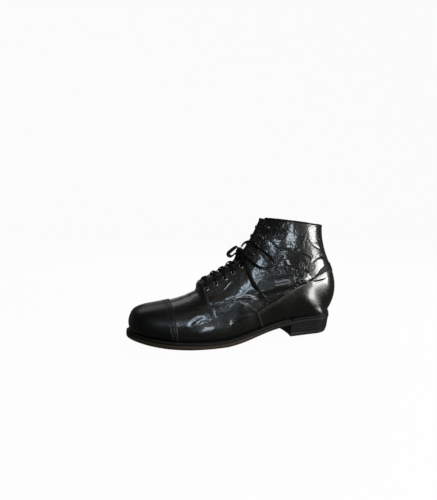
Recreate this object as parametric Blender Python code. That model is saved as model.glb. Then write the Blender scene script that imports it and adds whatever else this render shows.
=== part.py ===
"""Left ankle boot of black leather: laced front, toe cap, welted leather sole and stacked heel.

Frame: toe towards -X, heel towards +X, outer side -Y, inner side +Y, floor at Z = 0.
Sizes below are millimetres, or shares of the driving dimensions; MM turns them into metres.

The boot's skin is a fan of sections. Section numbers run from 0 at the toe tip, over the vamp and
the instep, to the collar. Across a section the share v runs from -1 at the outer foot, through 0 on
the ridge, to 1 at the inner foot. Every piece of the upper is cut from that one surface.
"""
import math
from collections import namedtuple

import bmesh
import bpy
import numpy as np

MM = 0.001

# Driving dimensions
SOLE_LENGTH = 295.0
BALL_WIDTH = 96.5
COLLAR_HEIGHT = 165.0
SEAT_HEIGHT = 29.5
ORIGIN_ALONG = 151.5
ORIGIN_SIDE = -2.0

# Thicknesses and gaps
WALL = 2.0
OVERLAY = 1.2
SKIN_GAP = 0.8
GAP = 0.3
FOOT_GAP = 0.6
WELT_THICK = 3.0
OUTSOLE_THICK = 5.3
TOP_LIFT_THICK = 6.0
TONGUE_THICK = 2.0
INSOLE_RISE = 1.5
TONGUE_HALF = (19.0, 27.0)
TONGUE_GAP = (2.0, 0.9)
TONGUE_UNDER_VAMP = 0.8
WALL_LIFT = -(OVERLAY + SKIN_GAP)

# Sole outline: share of the length, half widths as shares of the ball width
Plan = namedtuple("Plan", "along outer inner")
PLAN = [
    Plan(0.000, 0.425, 0.383),
    Plan(0.136, 0.472, 0.430),
    Plan(0.254, 0.530, 0.472),
    Plan(0.356, 0.548, 0.466),
    Plan(0.475, 0.492, 0.383),
    Plan(0.593, 0.399, 0.295),
    Plan(0.695, 0.358, 0.280),
    Plan(0.814, 0.347, 0.316),
    Plan(0.908, 0.347, 0.337),
    Plan(1.000, 0.332, 0.321),
]
TOE_ARC = 58.0
HEEL_ARC = 34.0

# Swing of the centre line to the inner side, shares of length and ball width
Swing = namedtuple("Swing", "along shift")
SWING = [Swing(0.0, 0.062), Swing(0.17, 0.041), Swing(0.34, 0.010), Swing(0.475, 0.0), Swing(1.0, 0.0)]

# Height of the welt's top, share of the heel seat's height: toe spring, tread, arch, seat
Seat = namedtuple("Seat", "along height")
SEAT = [
    Seat(0.000, 0.634),
    Seat(0.102, 0.444),
    Seat(0.203, 0.325),
    Seat(0.305, 0.278),
    Seat(0.390, 0.278),
    Seat(0.508, 0.400),
    Seat(0.644, 0.700),
    Seat(0.763, 0.885),
    Seat(0.881, 0.959),
    Seat(1.000, 1.000),
]

# Distance in from the sole's edge: along the toe and ball, at the waist, round the heel
Inset = namedtuple("Inset", "toe waist heel")
INSET_STOPS = [0.0, 0.373, 0.576, 0.763, 0.881, 1.0]
FEATHER = Inset(5.0, 4.0, 1.7)
FLUSH = Inset(0.0, 0.0, 0.0)
WELT_EDGE = Inset(0.4, 0.4, 0.4)
WELT_BACK = Inset(9.4, 8.4, 6.4)
INSOLE_EDGE = Inset(9.8, 8.8, 6.8)
HEEL_TOP_EDGE = Inset(0.8, 0.8, 0.8)
HEEL_MIDDLE_EDGE = Inset(1.4, 1.4, 2.4)
HEEL_FLOOR_EDGE = Inset(1.8, 1.8, 4.4)

# Sections whose foot stands on the feather edge. Head: share of length, share of collar height.
# Foot: outline station, 0 to 1 round the toe, 1 to 2 along the side, 2 to 3 round the heel.
# Half widths and ridge shift are shares of the ball width; crown and flank are roundness powers.
Section = namedtuple("Section", "name along height station outer inner ridge crown flank")
SECTIONS = [
    Section("toe tip", 0.019, 0.111, 0.000, 0.000, 0.000, 0.062, 2.00, 2.00),
    Section("toe foot", 0.012, 0.147, 0.155, 0.138, 0.126, 0.062, 2.00, 2.00),
    Section("toe face", 0.012, 0.187, 0.300, 0.230, 0.211, 0.060, 2.00, 2.00),
    Section("toe brow", 0.020, 0.231, 0.445, 0.307, 0.279, 0.058, 2.10, 2.00),
    Section("toe crown", 0.037, 0.272, 0.600, 0.374, 0.335, 0.056, 2.20, 2.00),
    Section("cap front", 0.073, 0.300, 0.770, 0.427, 0.380, 0.054, 2.20, 2.00),
    Section("cap middle", 0.124, 0.315, 0.920, 0.460, 0.411, 0.052, 2.20, 2.00),
    Section("cap edge", 0.203, 0.338, 1.060, 0.493, 0.442, 0.048, 2.10, 2.00),
    Section("ball", 0.285, 0.384, 1.165, 0.521, 0.453, 0.042, 1.95, 2.00),
    Section("throat", 0.351, 0.447, 1.275, 0.514, 0.435, 0.036, 1.85, 2.00),
    Section("lower instep", 0.410, 0.512, 1.400, 0.481, 0.400, 0.029, 1.80, 2.00),
    Section("instep", 0.463, 0.582, 1.550, 0.441, 0.375, 0.021, 1.85, 2.00),
    Section("upper instep", 0.510, 0.661, 1.720, 0.410, 0.373, 0.013, 1.92, 2.10),
    Section("ankle bend", 0.546, 0.748, 1.900, 0.392, 0.373, 0.006, 2.00, 2.25),
    Section("shaft front", 0.566, 0.810, 2.120, 0.383, 0.373, 0.002, 2.00, 2.40),
    Section("heel turn", 0.580, 0.852, 2.550, 0.375, 0.370, 0.000, 2.00, 2.40),
    Section("heel point", 0.587, 0.875, 3.000, 0.368, 0.363, 0.000, 2.00, 2.40),
]

# Sections whose foot stands on the back seam, at a share of length and of collar height
BackSection = namedtuple("BackSection", "name along height back rise half crown flank")
BACK_SECTIONS = [
    BackSection("counter foot", 0.593, 0.895, 1.022, 0.279, 0.359, 2.00, 2.40),
    BackSection("counter bulge", 0.599, 0.915, 1.027, 0.382, 0.352, 2.00, 2.40),
    BackSection("counter top", 0.605, 0.936, 1.015, 0.491, 0.347, 2.00, 2.35),
    BackSection("tendon low", 0.611, 0.954, 0.992, 0.588, 0.342, 2.00, 2.30),
    BackSection("tendon", 0.616, 0.970, 0.966, 0.682, 0.338, 2.00, 2.30),
    BackSection("shaft low", 0.620, 0.982, 0.947, 0.776, 0.336, 2.00, 2.30),
    BackSection("shaft", 0.623, 0.992, 0.937, 0.861, 0.335, 2.00, 2.30),
    BackSection("collar", 0.625, 1.000, 0.934, 0.939, 0.335, 2.00, 2.30),
]
HEEL_TURN = 13.6
HEEL_POINT = len(SECTIONS) - 1
COLLAR = len(SECTIONS) + len(BACK_SECTIONS) - 1
BINDING_RISE = 2.2
EVEN_PART = 0.25
SEAM_COLUMNS = 8
QUARTER_RISE = 7
FOXING_RISE = 6
EASE_REACH = 3.0
EASE_EDGE = 0.12
EASE_PASSES = 40
GRID_STEPS = 6
GRID_HALF = 60

# Throat: half width of the slot at section numbers, from its lower end to the collar
Slot = namedtuple("Slot", "section half")
SLOT = [Slot(8.9, 5.0), Slot(10.5, 8.5), Slot(12.0, 11.0), Slot(16.0, 11.5), Slot(24.0, 10.0)]
THROAT = SLOT[0].section

# Height by which facings, tongue and wall stand up beside the slot, most at the ridge
Rise = namedtuple("Rise", "section height")
RISE = [
    Rise(8.45, 0.0),
    Rise(8.90, 8.5),
    Rise(9.40, 8.5),
    Rise(9.80, 8.0),
    Rise(10.50, 6.5),
    Rise(11.20, 4.5),
    Rise(11.90, 2.0),
    Rise(12.30, 0.0),
]
RISE_START = RISE[0].section
RISE_REACH = 36.0
TAB_SLANT = 0.15
TAB_STRAIGHT = 9.05

# Rear edge of the toe cap: section number on the ridge and at the feather
CAP_RIDGE = 6.92
CAP_FOOT = 6.66

# Seams of the quarter: section number and share of the way from slot to foot
Seam = namedtuple("Seam", "section share")
VAMP_SEAM = [
    Seam(8.65, 0.430),
    Seam(9.40, 0.465),
    Seam(10.10, 0.500),
    Seam(10.70, 0.572),
    Seam(11.15, 0.738),
]
FOXING_SIDE = [
    Seam(11.15, 0.738),
    Seam(11.80, 0.706),
    Seam(12.50, 0.672),
    Seam(13.04, 0.635),
    Seam(13.60, 0.612),
    Seam(14.10, 0.601),
    Seam(14.83, 0.586),
    Seam(16.00, 0.564),
]
FOXING_BACK = [
    Seam(16.00, 0.564),
    Seam(16.83, 0.580),
    Seam(17.30, 0.600),
    Seam(17.75, 0.630),
    Seam(18.33, 0.681),
    Seam(18.83, 0.738),
    Seam(19.16, 0.800),
    Seam(19.32, 0.860),
    Seam(19.36, 0.930),
    Seam(19.30, 1.000),
]
SEAM_STEP = 0.03
TAB_FRONT = VAMP_SEAM[0].section
FOXING_FRONT = FOXING_SIDE[0].section

# Heel breast, as a station of the outline, and how far it is hollowed
BREAST = 1.80
BREAST_HOLLOW = 3.0
HOLLOW_FADE = 0.25
RAND_STEP = 0.01
SOLE_COLUMNS = 5
HEEL_COLUMNS = 7

# Lacing: eyelet and hook section numbers, distance from the ridge
EYELET_SECTIONS = [9.00, 9.69, 10.40, 11.06, 11.78]
HOOK_SECTIONS = [13.0, 14.05, 16.05, 19.5]
ROW_FROM_RIDGE = 20.4
EYELET_RADIUS = 3.4
EYELET_HOLE = 1.8
EYELET_RISE = 0.8
EYELET_SIDES = 10
LACE_WIDTH = 5.0
LACE_THICK = 1.2
LACE_PAST_SLOT = 2.6
LACE_STEPS = 5
UNDER_KNOT = Slot(12.35, 3.6)
CORD_RADIUS = 1.7
TIP_RADIUS = 1.3

# Lace hook seen from the side: forward and outward from its rivet, half width of the strip
HookPoint = namedtuple("HookPoint", "forward out half")
HOOK = [
    HookPoint(-3.2, 0.8, 1.6),
    HookPoint(-1.0, 0.8, 3.0),
    HookPoint(2.0, 0.8, 2.4),
    HookPoint(3.6, 1.6, 1.6),
    HookPoint(3.8, 2.9, 1.6),
    HookPoint(2.4, 3.9, 1.8),
    HookPoint(-0.2, 4.1, 2.4),
    HookPoint(-2.2, 4.0, 1.4),
]
HOOK_THICK = 0.8

# Routes of the bow, millimetres: along, side, height
Route = namedtuple("Route", "along side height")
KNOT = Route(151.0, -9.0, 121.0)
KNOT_HALF = Route(5.0, 5.0, 5.0)
BOW = {
    "lace_loop_front": [
        Route(146.6, -12.2, 125.7),
        Route(143.8, -14.6, 125.6),
        Route(140.0, -17.2, 123.8),
        Route(133.8, -20.4, 120.0),
        Route(131.0, -21.6, 116.8),
        Route(133.3, -21.4, 114.3),
        Route(140.1, -18.0, 116.0),
        Route(146.6, -11.6, 118.6),
    ],
    "lace_loop_side": [
        Route(154.1, -7.6, 125.4),
        Route(157.5, -6.5, 129.5),
        Route(162.5, -9.0, 132.5),
        Route(166.0, -15.5, 132.0),
        Route(170.0, -22.8, 127.0),
        Route(177.0, -28.8, 121.0),
        Route(183.5, -32.4, 116.0),
        Route(188.0, -35.0, 110.0),
        Route(189.5, -36.4, 105.0),
        Route(186.0, -36.6, 100.5),
        Route(175.0, -34.0, 100.0),
        Route(165.5, -28.0, 104.5),
        Route(159.0, -20.5, 111.5),
        Route(154.1, -13.0, 118.6),
    ],
    "lace_end_outer": [
        Route(151.7, -11.8, 116.2),
        Route(153.0, -17.0, 109.5),
        Route(156.0, -24.8, 99.5),
        Route(158.5, -32.0, 90.5),
        Route(161.0, -37.5, 81.0),
        Route(165.0, -40.5, 74.5),
        Route(167.5, -41.3, 71.5),
    ],
    "lace_end_inner": [
        Route(151.5, -3.4, 121.3),
        Route(152.0, 1.5, 121.3),
        Route(154.0, 9.5, 118.5),
        Route(156.0, 17.5, 112.5),
        Route(157.5, 25.0, 103.5),
    ],
}
TIP_LENGTH = 21.0
CORD_STEP = 4.0

# Finish of each material: colour, roughness, metallic
Finish = namedtuple("Finish", "colour roughness metallic")
FINISHES = {
    "leather": Finish((0.012, 0.012, 0.013), 0.22, 0.0),
    "lining": Finish((0.10, 0.075, 0.055), 0.7, 0.0),
    "edge": Finish((0.045, 0.030, 0.022), 0.5, 0.0),
    "rubber": Finish((0.015, 0.015, 0.015), 0.7, 0.0),
    "metal": Finish((0.02, 0.02, 0.022), 0.3, 0.6),
    "lace": Finish((0.010, 0.010, 0.010), 0.8, 0.0),
    "tip": Finish((0.008, 0.008, 0.008), 0.15, 0.0),
}


def spline(knots, values, where):
    """Natural cubic curve through the knots, read at the places asked for."""
    knots = np.asarray(knots, float)
    values = np.asarray(values, float)
    where = np.asarray(where, float)
    step = np.diff(knots)
    count = len(knots)
    system = np.eye(count)
    right = np.zeros(count)
    for k in range(1, count - 1):
        system[k, k - 1:k + 2] = step[k - 1], 2 * (step[k - 1] + step[k]), step[k]
        right[k] = 6 * ((values[k + 1] - values[k]) / step[k] - (values[k] - values[k - 1]) / step[k - 1])
    bend = np.linalg.solve(system, right)
    k = np.clip(np.searchsorted(knots, where) - 1, 0, count - 2)
    ahead = where - knots[k]
    slope = (values[k + 1] - values[k]) / step[k] - step[k] * (2 * bend[k] + bend[k + 1]) / 6
    cubic = (bend[k + 1] - bend[k]) / (6 * step[k])
    return values[k] + ahead * (slope + ahead * (bend[k] / 2 + ahead * cubic))


def column(table, field):
    """One named column of a table as an array."""
    return np.array([getattr(row, field) for row in table], float)


def seat_height(along):
    """Height of the welt's top face at a distance from the toe."""
    share = np.clip(np.asarray(along, float) / SOLE_LENGTH, 0.0, 1.0)
    return SEAT_HEIGHT * spline(column(SEAT, "along"), column(SEAT, "height"), share)


def outline(station, inset):
    """Along, outer side, inner side and centre line of the sole's outline, taken in by an inset."""
    station = np.asarray(station, float)
    toe = np.clip(station, 0, 1) * math.pi / 2
    heel = np.clip(station - 2, 0, 1) * math.pi / 2
    straight = SOLE_LENGTH - TOE_ARC - HEEL_ARC
    along = TOE_ARC * (1 - np.cos(toe)) + straight * np.clip(station - 1, 0, 1) + HEEL_ARC * np.sin(heel)
    closing = np.where(station < 1, np.sin(toe), np.cos(heel))
    share = along / SOLE_LENGTH
    outer = BALL_WIDTH * spline(column(PLAN, "along"), column(PLAN, "outer"), share)
    inner = BALL_WIDTH * spline(column(PLAN, "along"), column(PLAN, "inner"), share)
    centre = BALL_WIDTH * spline(column(SWING, "along"), column(SWING, "shift"), share)
    stops = [inset.toe, inset.toe, inset.waist, inset.waist, inset.heel, inset.heel]
    taken = np.interp(share, INSET_STOPS, stops)
    moved = along + np.where(station < 1, taken * np.cos(toe), 0) - taken * np.sin(heel)
    return moved, centre - (outer - taken) * closing, centre + (inner - taken) * closing, centre


def section_values(number):
    """Head, foot, half widths and roundness of the sections at these section numbers."""
    rows = np.arange(COLLAR + 1)
    both = SECTIONS + BACK_SECTIONS
    head_along = SOLE_LENGTH * spline(rows, column(both, "along"), number)
    head_height = COLLAR_HEIGHT * spline(rows, column(both, "height"), number)
    crown = spline(rows, column(both, "crown"), number)
    flank = spline(rows, column(both, "flank"), number)
    half = column(BACK_SECTIONS, "half")
    outer = BALL_WIDTH * spline(rows, np.append(column(SECTIONS, "outer"), half), number)
    inner = BALL_WIDTH * spline(rows, np.append(column(SECTIONS, "inner"), half), number)
    ridge = BALL_WIDTH * spline(rows, np.append(column(SECTIONS, "ridge"), 0 * half), number)
    front = np.clip(number, 0, HEEL_POINT)
    station = np.clip(spline(rows[:HEEL_POINT + 1], column(SECTIONS, "station"), front), 0, 3)
    along, foot_outer, foot_inner, centre = outline(station, FEATHER)
    height = seat_height(along)
    heel_along, heel_height = float(outline(3.0, FEATHER)[0]), SEAT_HEIGHT
    back_rows = rows[HEEL_POINT:]
    back = np.append(heel_along, SOLE_LENGTH * column(BACK_SECTIONS, "back"))
    rise = np.append(heel_height, COLLAR_HEIGHT * column(BACK_SECTIONS, "rise"))
    behind = number > HEEL_POINT
    along = np.where(behind, spline(back_rows, back, number), along)
    height = np.where(behind, spline(back_rows, rise, number), height)
    reach_outer = np.where(behind, 0, centre - foot_outer)
    reach_inner = np.where(behind, 0, foot_inner - centre)
    centre = np.where(behind, 0, centre)
    return dict(head=(head_along, head_height), foot=(along, height), ridge=ridge, centre=centre,
                crown=crown, flank=flank, half=(outer, inner), reach=(reach_outer, reach_inner))


def half_sections(values, side):
    """Points from ridge to foot on one side of every section, evenly spaced, and the girths.

    Each half section is a rounded power curve: at angle a from the crown it stands out by
    half * sin(a) and has come down by 1 - cos(a), both raised to 2 / roundness.
    """
    half = np.maximum(values["half"][side], 1e-6)[:, None]
    reach = np.minimum(values["reach"][side][:, None], half * 0.9999)
    crown, flank = values["crown"][:, None], values["flank"][:, None]
    last = math.pi - np.arcsin(np.clip(reach / half, 0, 1) ** (flank / 2))
    angle = last * np.linspace(0, 1, 4 * GRID_HALF + 1)
    power = 2 / np.where(np.cos(angle) > 0, crown, flank)
    drop = 1 - np.sign(np.cos(angle)) * np.abs(np.cos(angle)) ** power
    drop = drop / drop[:, -1:]
    out = half * np.abs(np.sin(angle)) ** power
    out[:, -1:] = reach
    head, foot = values["head"], values["foot"]
    along = head[0][:, None] + drop * (foot[0] - head[0])[:, None]
    height = head[1][:, None] + drop * (foot[1] - head[1])[:, None]
    middle = values["ridge"][:, None] + drop * (values["centre"] - values["ridge"])[:, None]
    sign = -1 if side == 0 else 1
    fine = np.stack([along, middle + sign * out, height], axis=-1)
    length = np.linalg.norm(np.diff(fine, axis=1), axis=2)
    run = np.concatenate([np.zeros((len(half), 1)), np.cumsum(length, axis=1)], axis=1)
    girth = run[:, -1]
    even = np.linspace(0, 1, GRID_HALF + 1)
    points = np.array([[np.interp(even * g, r, f[:, axis]) for axis in range(3)]
                       for g, r, f in zip(girth, run, fine)])
    return points.transpose(0, 2, 1), girth


def smooth_step(share):
    """Rise from 0 to 1 with level ends."""
    share = np.clip(share, 0, 1)
    return share * share * (3 - 2 * share)


def ease_heel(points):
    """Skin points evened out from section to section where the feather turns up into the back seam."""
    number = np.linspace(0, COLLAR, points.shape[0])[1:-1, None, None]
    share = np.linspace(-1, 1, points.shape[1])[None, :, None]
    weight = smooth_step(1 - np.abs(number - HEEL_POINT) / EASE_REACH)
    weight = weight * smooth_step((1 - np.abs(share)) / EASE_EDGE)
    for _ in range(EASE_PASSES):
        even = (points[:-2] + 2 * points[1:-1] + points[2:]) / 4
        points[1:-1] += weight * (even - points[1:-1])
    return points


def build_skin():
    """Fine grid of points, outward normals and girths of the boot's outermost surface."""
    number = np.linspace(0, COLLAR, COLLAR * GRID_STEPS + 1)
    values = section_values(number)
    outer, girth_outer = half_sections(values, 0)
    inner, girth_inner = half_sections(values, 1)
    points = ease_heel(np.concatenate([outer[:, :0:-1], inner], axis=1))
    face = np.cross(points[1:, 1:] - points[:-1, :-1], points[:-1, 1:] - points[1:, :-1])
    normal = np.zeros_like(points)
    for rows in (slice(None, -1), slice(1, None)):
        for columns in (slice(None, -1), slice(1, None)):
            normal[rows, columns] += face
    normal[0] = normal[0].sum(axis=0)
    heel = HEEL_POINT * GRID_STEPS
    seam = normal[heel:, 0] + normal[heel:, -1]
    normal[heel:, 0] = seam
    normal[heel:, -1] = seam
    normal[:heel + 1, [0, -1], 2] = 0
    normal[0, :, 2] = 0
    normal *= np.sign(normal[GRID_STEPS * 8, GRID_HALF, 2])
    normal /= np.linalg.norm(normal, axis=2, keepdims=True)
    return points, normal, np.stack([girth_outer, girth_inner])


SKIN_POINTS, SKIN_NORMALS, SKIN_GIRTH = build_skin()


def read_grid(grid, number, share):
    """Value of a skin grid between its nodes, at section numbers and shares."""
    row = np.clip(number * GRID_STEPS, 0, grid.shape[0] - 1.000001)
    place = np.clip((share + 1) * GRID_HALF, 0, grid.shape[1] - 1.000001)
    i, j = row.astype(int), place.astype(int)
    a, b = (row - i)[..., None], (place - j)[..., None]
    low = grid[i, j] * (1 - b) + grid[i, j + 1] * b
    high = grid[i + 1, j] * (1 - b) + grid[i + 1, j + 1] * b
    return low * (1 - a) + high * a


def girth(number, side):
    """Length of a half section from ridge to foot."""
    places = np.linspace(0, COLLAR, SKIN_GIRTH.shape[1])
    return np.interp(number, places, SKIN_GIRTH[0 if side < 0 else 1])


def facing_rise(number, share):
    """Height by which the surface stands up beside the slot, at section numbers and shares."""
    distance = np.abs(share) * np.where(share < 0, girth(number, -1), girth(number, 1))
    height = np.interp(number, column(RISE, "section"), column(RISE, "height"))
    return height * smooth_step(1 - distance / RISE_REACH)


def skin(number, share, lift=0.0):
    """Points at a height over the outermost surface; a negative lift goes inwards."""
    number, share = np.broadcast_arrays(np.asarray(number, float), np.asarray(share, float))
    normal = read_grid(SKIN_NORMALS, number, share)
    normal = normal / np.linalg.norm(normal, axis=-1, keepdims=True)
    height = np.asarray(lift) + facing_rise(number, share)
    return read_grid(SKIN_POINTS, number, share) + height[..., None] * normal


def slot_half(number):
    """Half width of the slot at section numbers."""
    return np.interp(number, column(SLOT, "section"), column(SLOT, "half"))


def from_slot(number, side, share):
    """Share v at a share of the way from the slot's edge to the foot, on one side."""
    edge = slot_half(number) / girth(number, side)
    return side * (edge + share * (1 - edge))


def from_ridge(number, side, distance):
    """Share v at a distance from the ridge, on one side."""
    return side * distance / girth(number, side)


def below_collar(number, share, distance, start=HEEL_POINT):
    """Section numbers squeezed above a start so that the topmost row ends below the collar's edge."""
    rows = np.linspace(HEEL_POINT, COLLAR, 60)
    line = skin(rows[:, None], np.asarray(share)[-1][None, :])
    run = np.linalg.norm(np.diff(line, axis=0), axis=2)[::-1]
    depth = np.concatenate([np.zeros((1, run.shape[1])), np.cumsum(run, axis=0)])
    top = np.array([np.interp(distance, d, rows[::-1]) for d in depth.T])
    squeezed = start + (number - start) * (top - start) / (COLLAR - start)
    return np.where(number > start, squeezed, number)


def weld(points):
    """Number of each point of a grid, the same for points that coincide."""
    flat = np.round(points.reshape(-1, 3), 3)
    found, first, index = np.unique(flat, axis=0, return_index=True, return_inverse=True)
    return index.reshape(points.shape[:2]), first


def add_object(name, verts, faces, finish):
    """One named mesh object in metres, its faces turned outwards."""
    mesh = bpy.data.meshes.new(name)
    moved = (np.asarray(verts, float) - (ORIGIN_ALONG, ORIGIN_SIDE, 0.0)) * MM
    mesh.from_pydata(moved.tolist(), [], faces)
    work = bmesh.new()
    work.from_mesh(mesh)
    bmesh.ops.delete(work, geom=[v for v in work.verts if not v.link_faces], context="VERTS")
    bmesh.ops.recalc_face_normals(work, faces=work.faces[:])
    work.to_mesh(mesh)
    work.free()
    mesh.shade_smooth()
    mesh.set_sharp_from_angle(angle=math.radians(40))
    mesh.materials.append(material(name, finish))
    made = bpy.data.objects.new(name, mesh)
    bpy.context.scene.collection.objects.link(made)
    return made


def material(name, finish):
    """Principled material of one piece."""
    made = bpy.data.materials.new(name)
    made.use_nodes = True
    shader = made.node_tree.nodes["Principled BSDF"]
    look = FINISHES[finish]
    shader.inputs["Base Color"].default_value = (*look.colour, 1.0)
    shader.inputs["Roughness"].default_value = look.roughness
    shader.inputs["Metallic"].default_value = look.metallic
    return made


def shell(name, high, low, finish, keep=None):
    """Closed solid between two grids of points, joined where the grid meets itself."""
    rows, columns = high.shape[:2]
    index, first = weld(high)
    count = len(first)
    verts = np.concatenate([high.reshape(-1, 3)[first], low.reshape(-1, 3)[first]])
    faces = []
    half_edges = {}
    for r in range(rows - 1):
        for c in range(columns - 1):
            if keep is not None and not keep[r, c]:
                continue
            ring = [int(index[r, c]), int(index[r + 1, c]), int(index[r + 1, c + 1]), int(index[r, c + 1])]
            ring = [p for k, p in enumerate(ring) if p != ring[k - 1]]
            if len(set(ring)) < 3:
                continue
            faces.append(ring)
            faces.append([p + count for p in reversed(ring)])
            for k, p in enumerate(ring):
                half_edges[(ring[k - 1], p)] = True
    for a, b in half_edges:
        if (b, a) not in half_edges:
            faces.append([b, a, a + count, b + count])
    return add_object(name, verts, faces, finish)


def rows_between(stops, counts):
    """Section numbers from stop to stop, evenly spaced between each two."""
    parts = [np.linspace(a, b, n, endpoint=False) for a, b, n in zip(stops, stops[1:], counts)]
    return np.append(np.concatenate(parts), stops[-1])


def closer_at_ends(count):
    """Shares from 0 to 1 that lie closer together at both ends, where the sections bend most."""
    even = np.linspace(0, 1, count)
    eased = (1 - np.cos(math.pi * even)) / 2
    return EVEN_PART * even + (1 - EVEN_PART) * eased


def make_upper():
    """Vamp, quarters and shaft as one wall, open at collar, throat and underneath."""
    stops = [0, RISE_START, THROAT, HEEL_TURN, HEEL_POINT, COLLAR]
    number = rows_between(stops, [11, 1, 7, 7, 7])[:, None]
    shares = closer_at_ends(12)
    outer = from_slot(number, -1, shares[::-1])
    inner = from_slot(number, 1, shares)
    share = np.concatenate([outer, np.zeros_like(number), inner], axis=1)
    keep = np.ones((share.shape[0] - 1, share.shape[1] - 1), bool)
    slot = len(shares) - 1
    keep[number[:-1, 0] >= THROAT - 1e-6, slot:slot + 2] = False
    number = below_collar(number, share, BINDING_RISE + GAP)
    shell("upper", skin(number, share, WALL_LIFT), skin(number, share, WALL_LIFT - WALL), "leather", keep)


def make_tongue():
    """Tongue behind the slot, from under the vamp to the collar."""
    stops = [THROAT - TONGUE_UNDER_VAMP, RISE_START, THROAT, HEEL_TURN, COLLAR]
    number = rows_between(stops, [1, 1, 7, 7])[:, None]
    across = np.linspace(-1, 1, 9)
    half = np.interp(number, [THROAT, COLLAR], TONGUE_HALF)
    share = np.where(across < 0, from_ridge(number, -1, half), from_ridge(number, 1, half)) * np.abs(across)
    number = below_collar(number, share, BINDING_RISE)
    top = WALL_LIFT - WALL - np.interp(number, [THROAT, HEEL_TURN], TONGUE_GAP) + 0 * share
    shell("tongue", skin(number, share, top), skin(number, share, top - TONGUE_THICK), "leather")


def make_toe_cap():
    """Toe cap, from the toe tip to its curved rear edge."""
    share = np.linspace(-1, 1, 17)[None, :]
    edge = CAP_RIDGE + (CAP_FOOT - CAP_RIDGE) * share ** 2
    number = edge * np.linspace(0, 1, 9)[:, None]
    share = np.broadcast_to(share, number.shape)
    shell("toe_cap", skin(number, share), skin(number, share, -OVERLAY), "leather")


def side_edge(number):
    """Share of the way from slot to foot where the quarter ends, as far back as the heel point."""
    vamp = spline(column(VAMP_SEAM, "section"), column(VAMP_SEAM, "share"), number)
    foxing = spline(column(FOXING_SIDE, "section"), column(FOXING_SIDE, "share"), number)
    return np.where(number < FOXING_FRONT, vamp, foxing)


def back_edge(share):
    """Section number of the seam between quarter and foxing, behind the heel point."""
    return np.interp(share, column(FOXING_BACK, "share"), column(FOXING_BACK, "section"))


def seam_columns():
    """Shares from slot to seam, and from seam to foot, closer together where the sections bend."""
    whole = closer_at_ends(2 * SEAM_COLUMNS + 1)
    middle = whole[SEAM_COLUMNS]
    return whole[:SEAM_COLUMNS + 1] / middle, (whole[SEAM_COLUMNS:] - middle) / (1 - middle)


def foxing_rows():
    """Section numbers along the side seam, the same for quarter and foxing."""
    return rows_between([FOXING_FRONT, HEEL_TURN, HEEL_POINT], [4, 7])


def make_quarters():
    """Outer and inner quarters that carry the lacing, lapped over the vamp.

    Up to the heel point the grid runs from slot to seam. Behind it, more columns run from the seam
    to the back, and the rows rise from the seam to the collar.
    """
    above, below = seam_columns()
    front = np.append(rows_between([TAB_FRONT, FOXING_FRONT], [6])[:-1], foxing_rows())
    rise = np.linspace(0, 1, QUARTER_RISE)[1:, None]
    for name, side in (("quarter_outer", -1), ("quarter_inner", 1)):
        edge = side_edge(front) - GAP / girth(front, side)
        past = (edge[-1] + (1 - edge[-1]) * below)[1:]
        low = np.append(np.full(SEAM_COLUMNS + 1, float(HEEL_POINT)), back_edge(past) + SEAM_STEP)
        last = np.append(edge[-1] * above, past)
        beyond = np.repeat(edge[:, None], SEAM_COLUMNS, 1)
        side_share = np.concatenate([edge[:, None] * above, beyond], axis=1)
        side_share[-1] = last
        number = np.repeat(front[:, None], low.size, 1)
        slant = TAB_SLANT * np.clip((TAB_STRAIGHT - front) / (TAB_STRAIGHT - TAB_FRONT), 0, 1)
        number[:, :SEAM_COLUMNS + 1] += slant[:, None] * (1 - above)
        number[-1] = low
        number = np.concatenate([number, low + rise * (COLLAR - low)])
        share = np.concatenate([side_share, np.repeat(last[None], len(rise), 0)])
        share = from_slot(number, side, share)
        number = below_collar(number, share, BINDING_RISE + GAP, low)
        tab = facing_rise(np.maximum(number, THROAT), share) - facing_rise(number, share)
        keep = np.ones((share.shape[0] - 1, share.shape[1] - 1), bool)
        keep[:front.size - 1, SEAM_COLUMNS:] = False
        shell(name, skin(number, share, tab), skin(number, share, tab - OVERLAY), "leather", keep)


def make_foxing():
    """Counter cover round the heel, below the quarters, joined at the back seam."""
    front = foxing_rows()
    below = seam_columns()[1]
    rise = np.linspace(0, 1, FOXING_RISE)[1:, None]
    sides = []
    numbers = []
    for side in (-1, 1):
        edge = side_edge(front) + GAP / girth(front, side)
        share = edge[:, None] + (1 - edge[:, None]) * below
        top = np.maximum(back_edge(share[-1]) - SEAM_STEP, HEEL_POINT)
        number = np.repeat(front[:, None], below.size, 1)
        number = np.concatenate([number, HEEL_POINT + rise * (top - HEEL_POINT)])
        share = np.concatenate([share, np.repeat(share[-1:], len(rise), 0)])
        numbers.append(number)
        sides.append(from_slot(number, side, share))
    number = np.concatenate([numbers[0], numbers[1][:, ::-1]], axis=1)
    share = np.concatenate([sides[0], sides[1][:, ::-1]], axis=1)
    keep = np.ones((share.shape[0] - 1, share.shape[1] - 1), bool)
    keep[:front.size - 1, SEAM_COLUMNS] = False
    shell("foxing", skin(number, share), skin(number, share, -OVERLAY), "leather", keep)


def make_binding():
    """Bound edge on top of the collar, from one side of the slot round to the other."""
    across = np.linspace(0, 1, 14)
    share = np.concatenate([from_slot(COLLAR, -1, across), from_slot(COLLAR, 1, across[::-1])[1:]])[None, :]
    low = below_collar(np.full((1, 1), COLLAR), share, BINDING_RISE)
    number = np.concatenate([low, np.full_like(low, COLLAR)])
    shell("collar_binding", skin(number, share, GAP), skin(number, share, WALL_LIFT - WALL), "leather")


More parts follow.
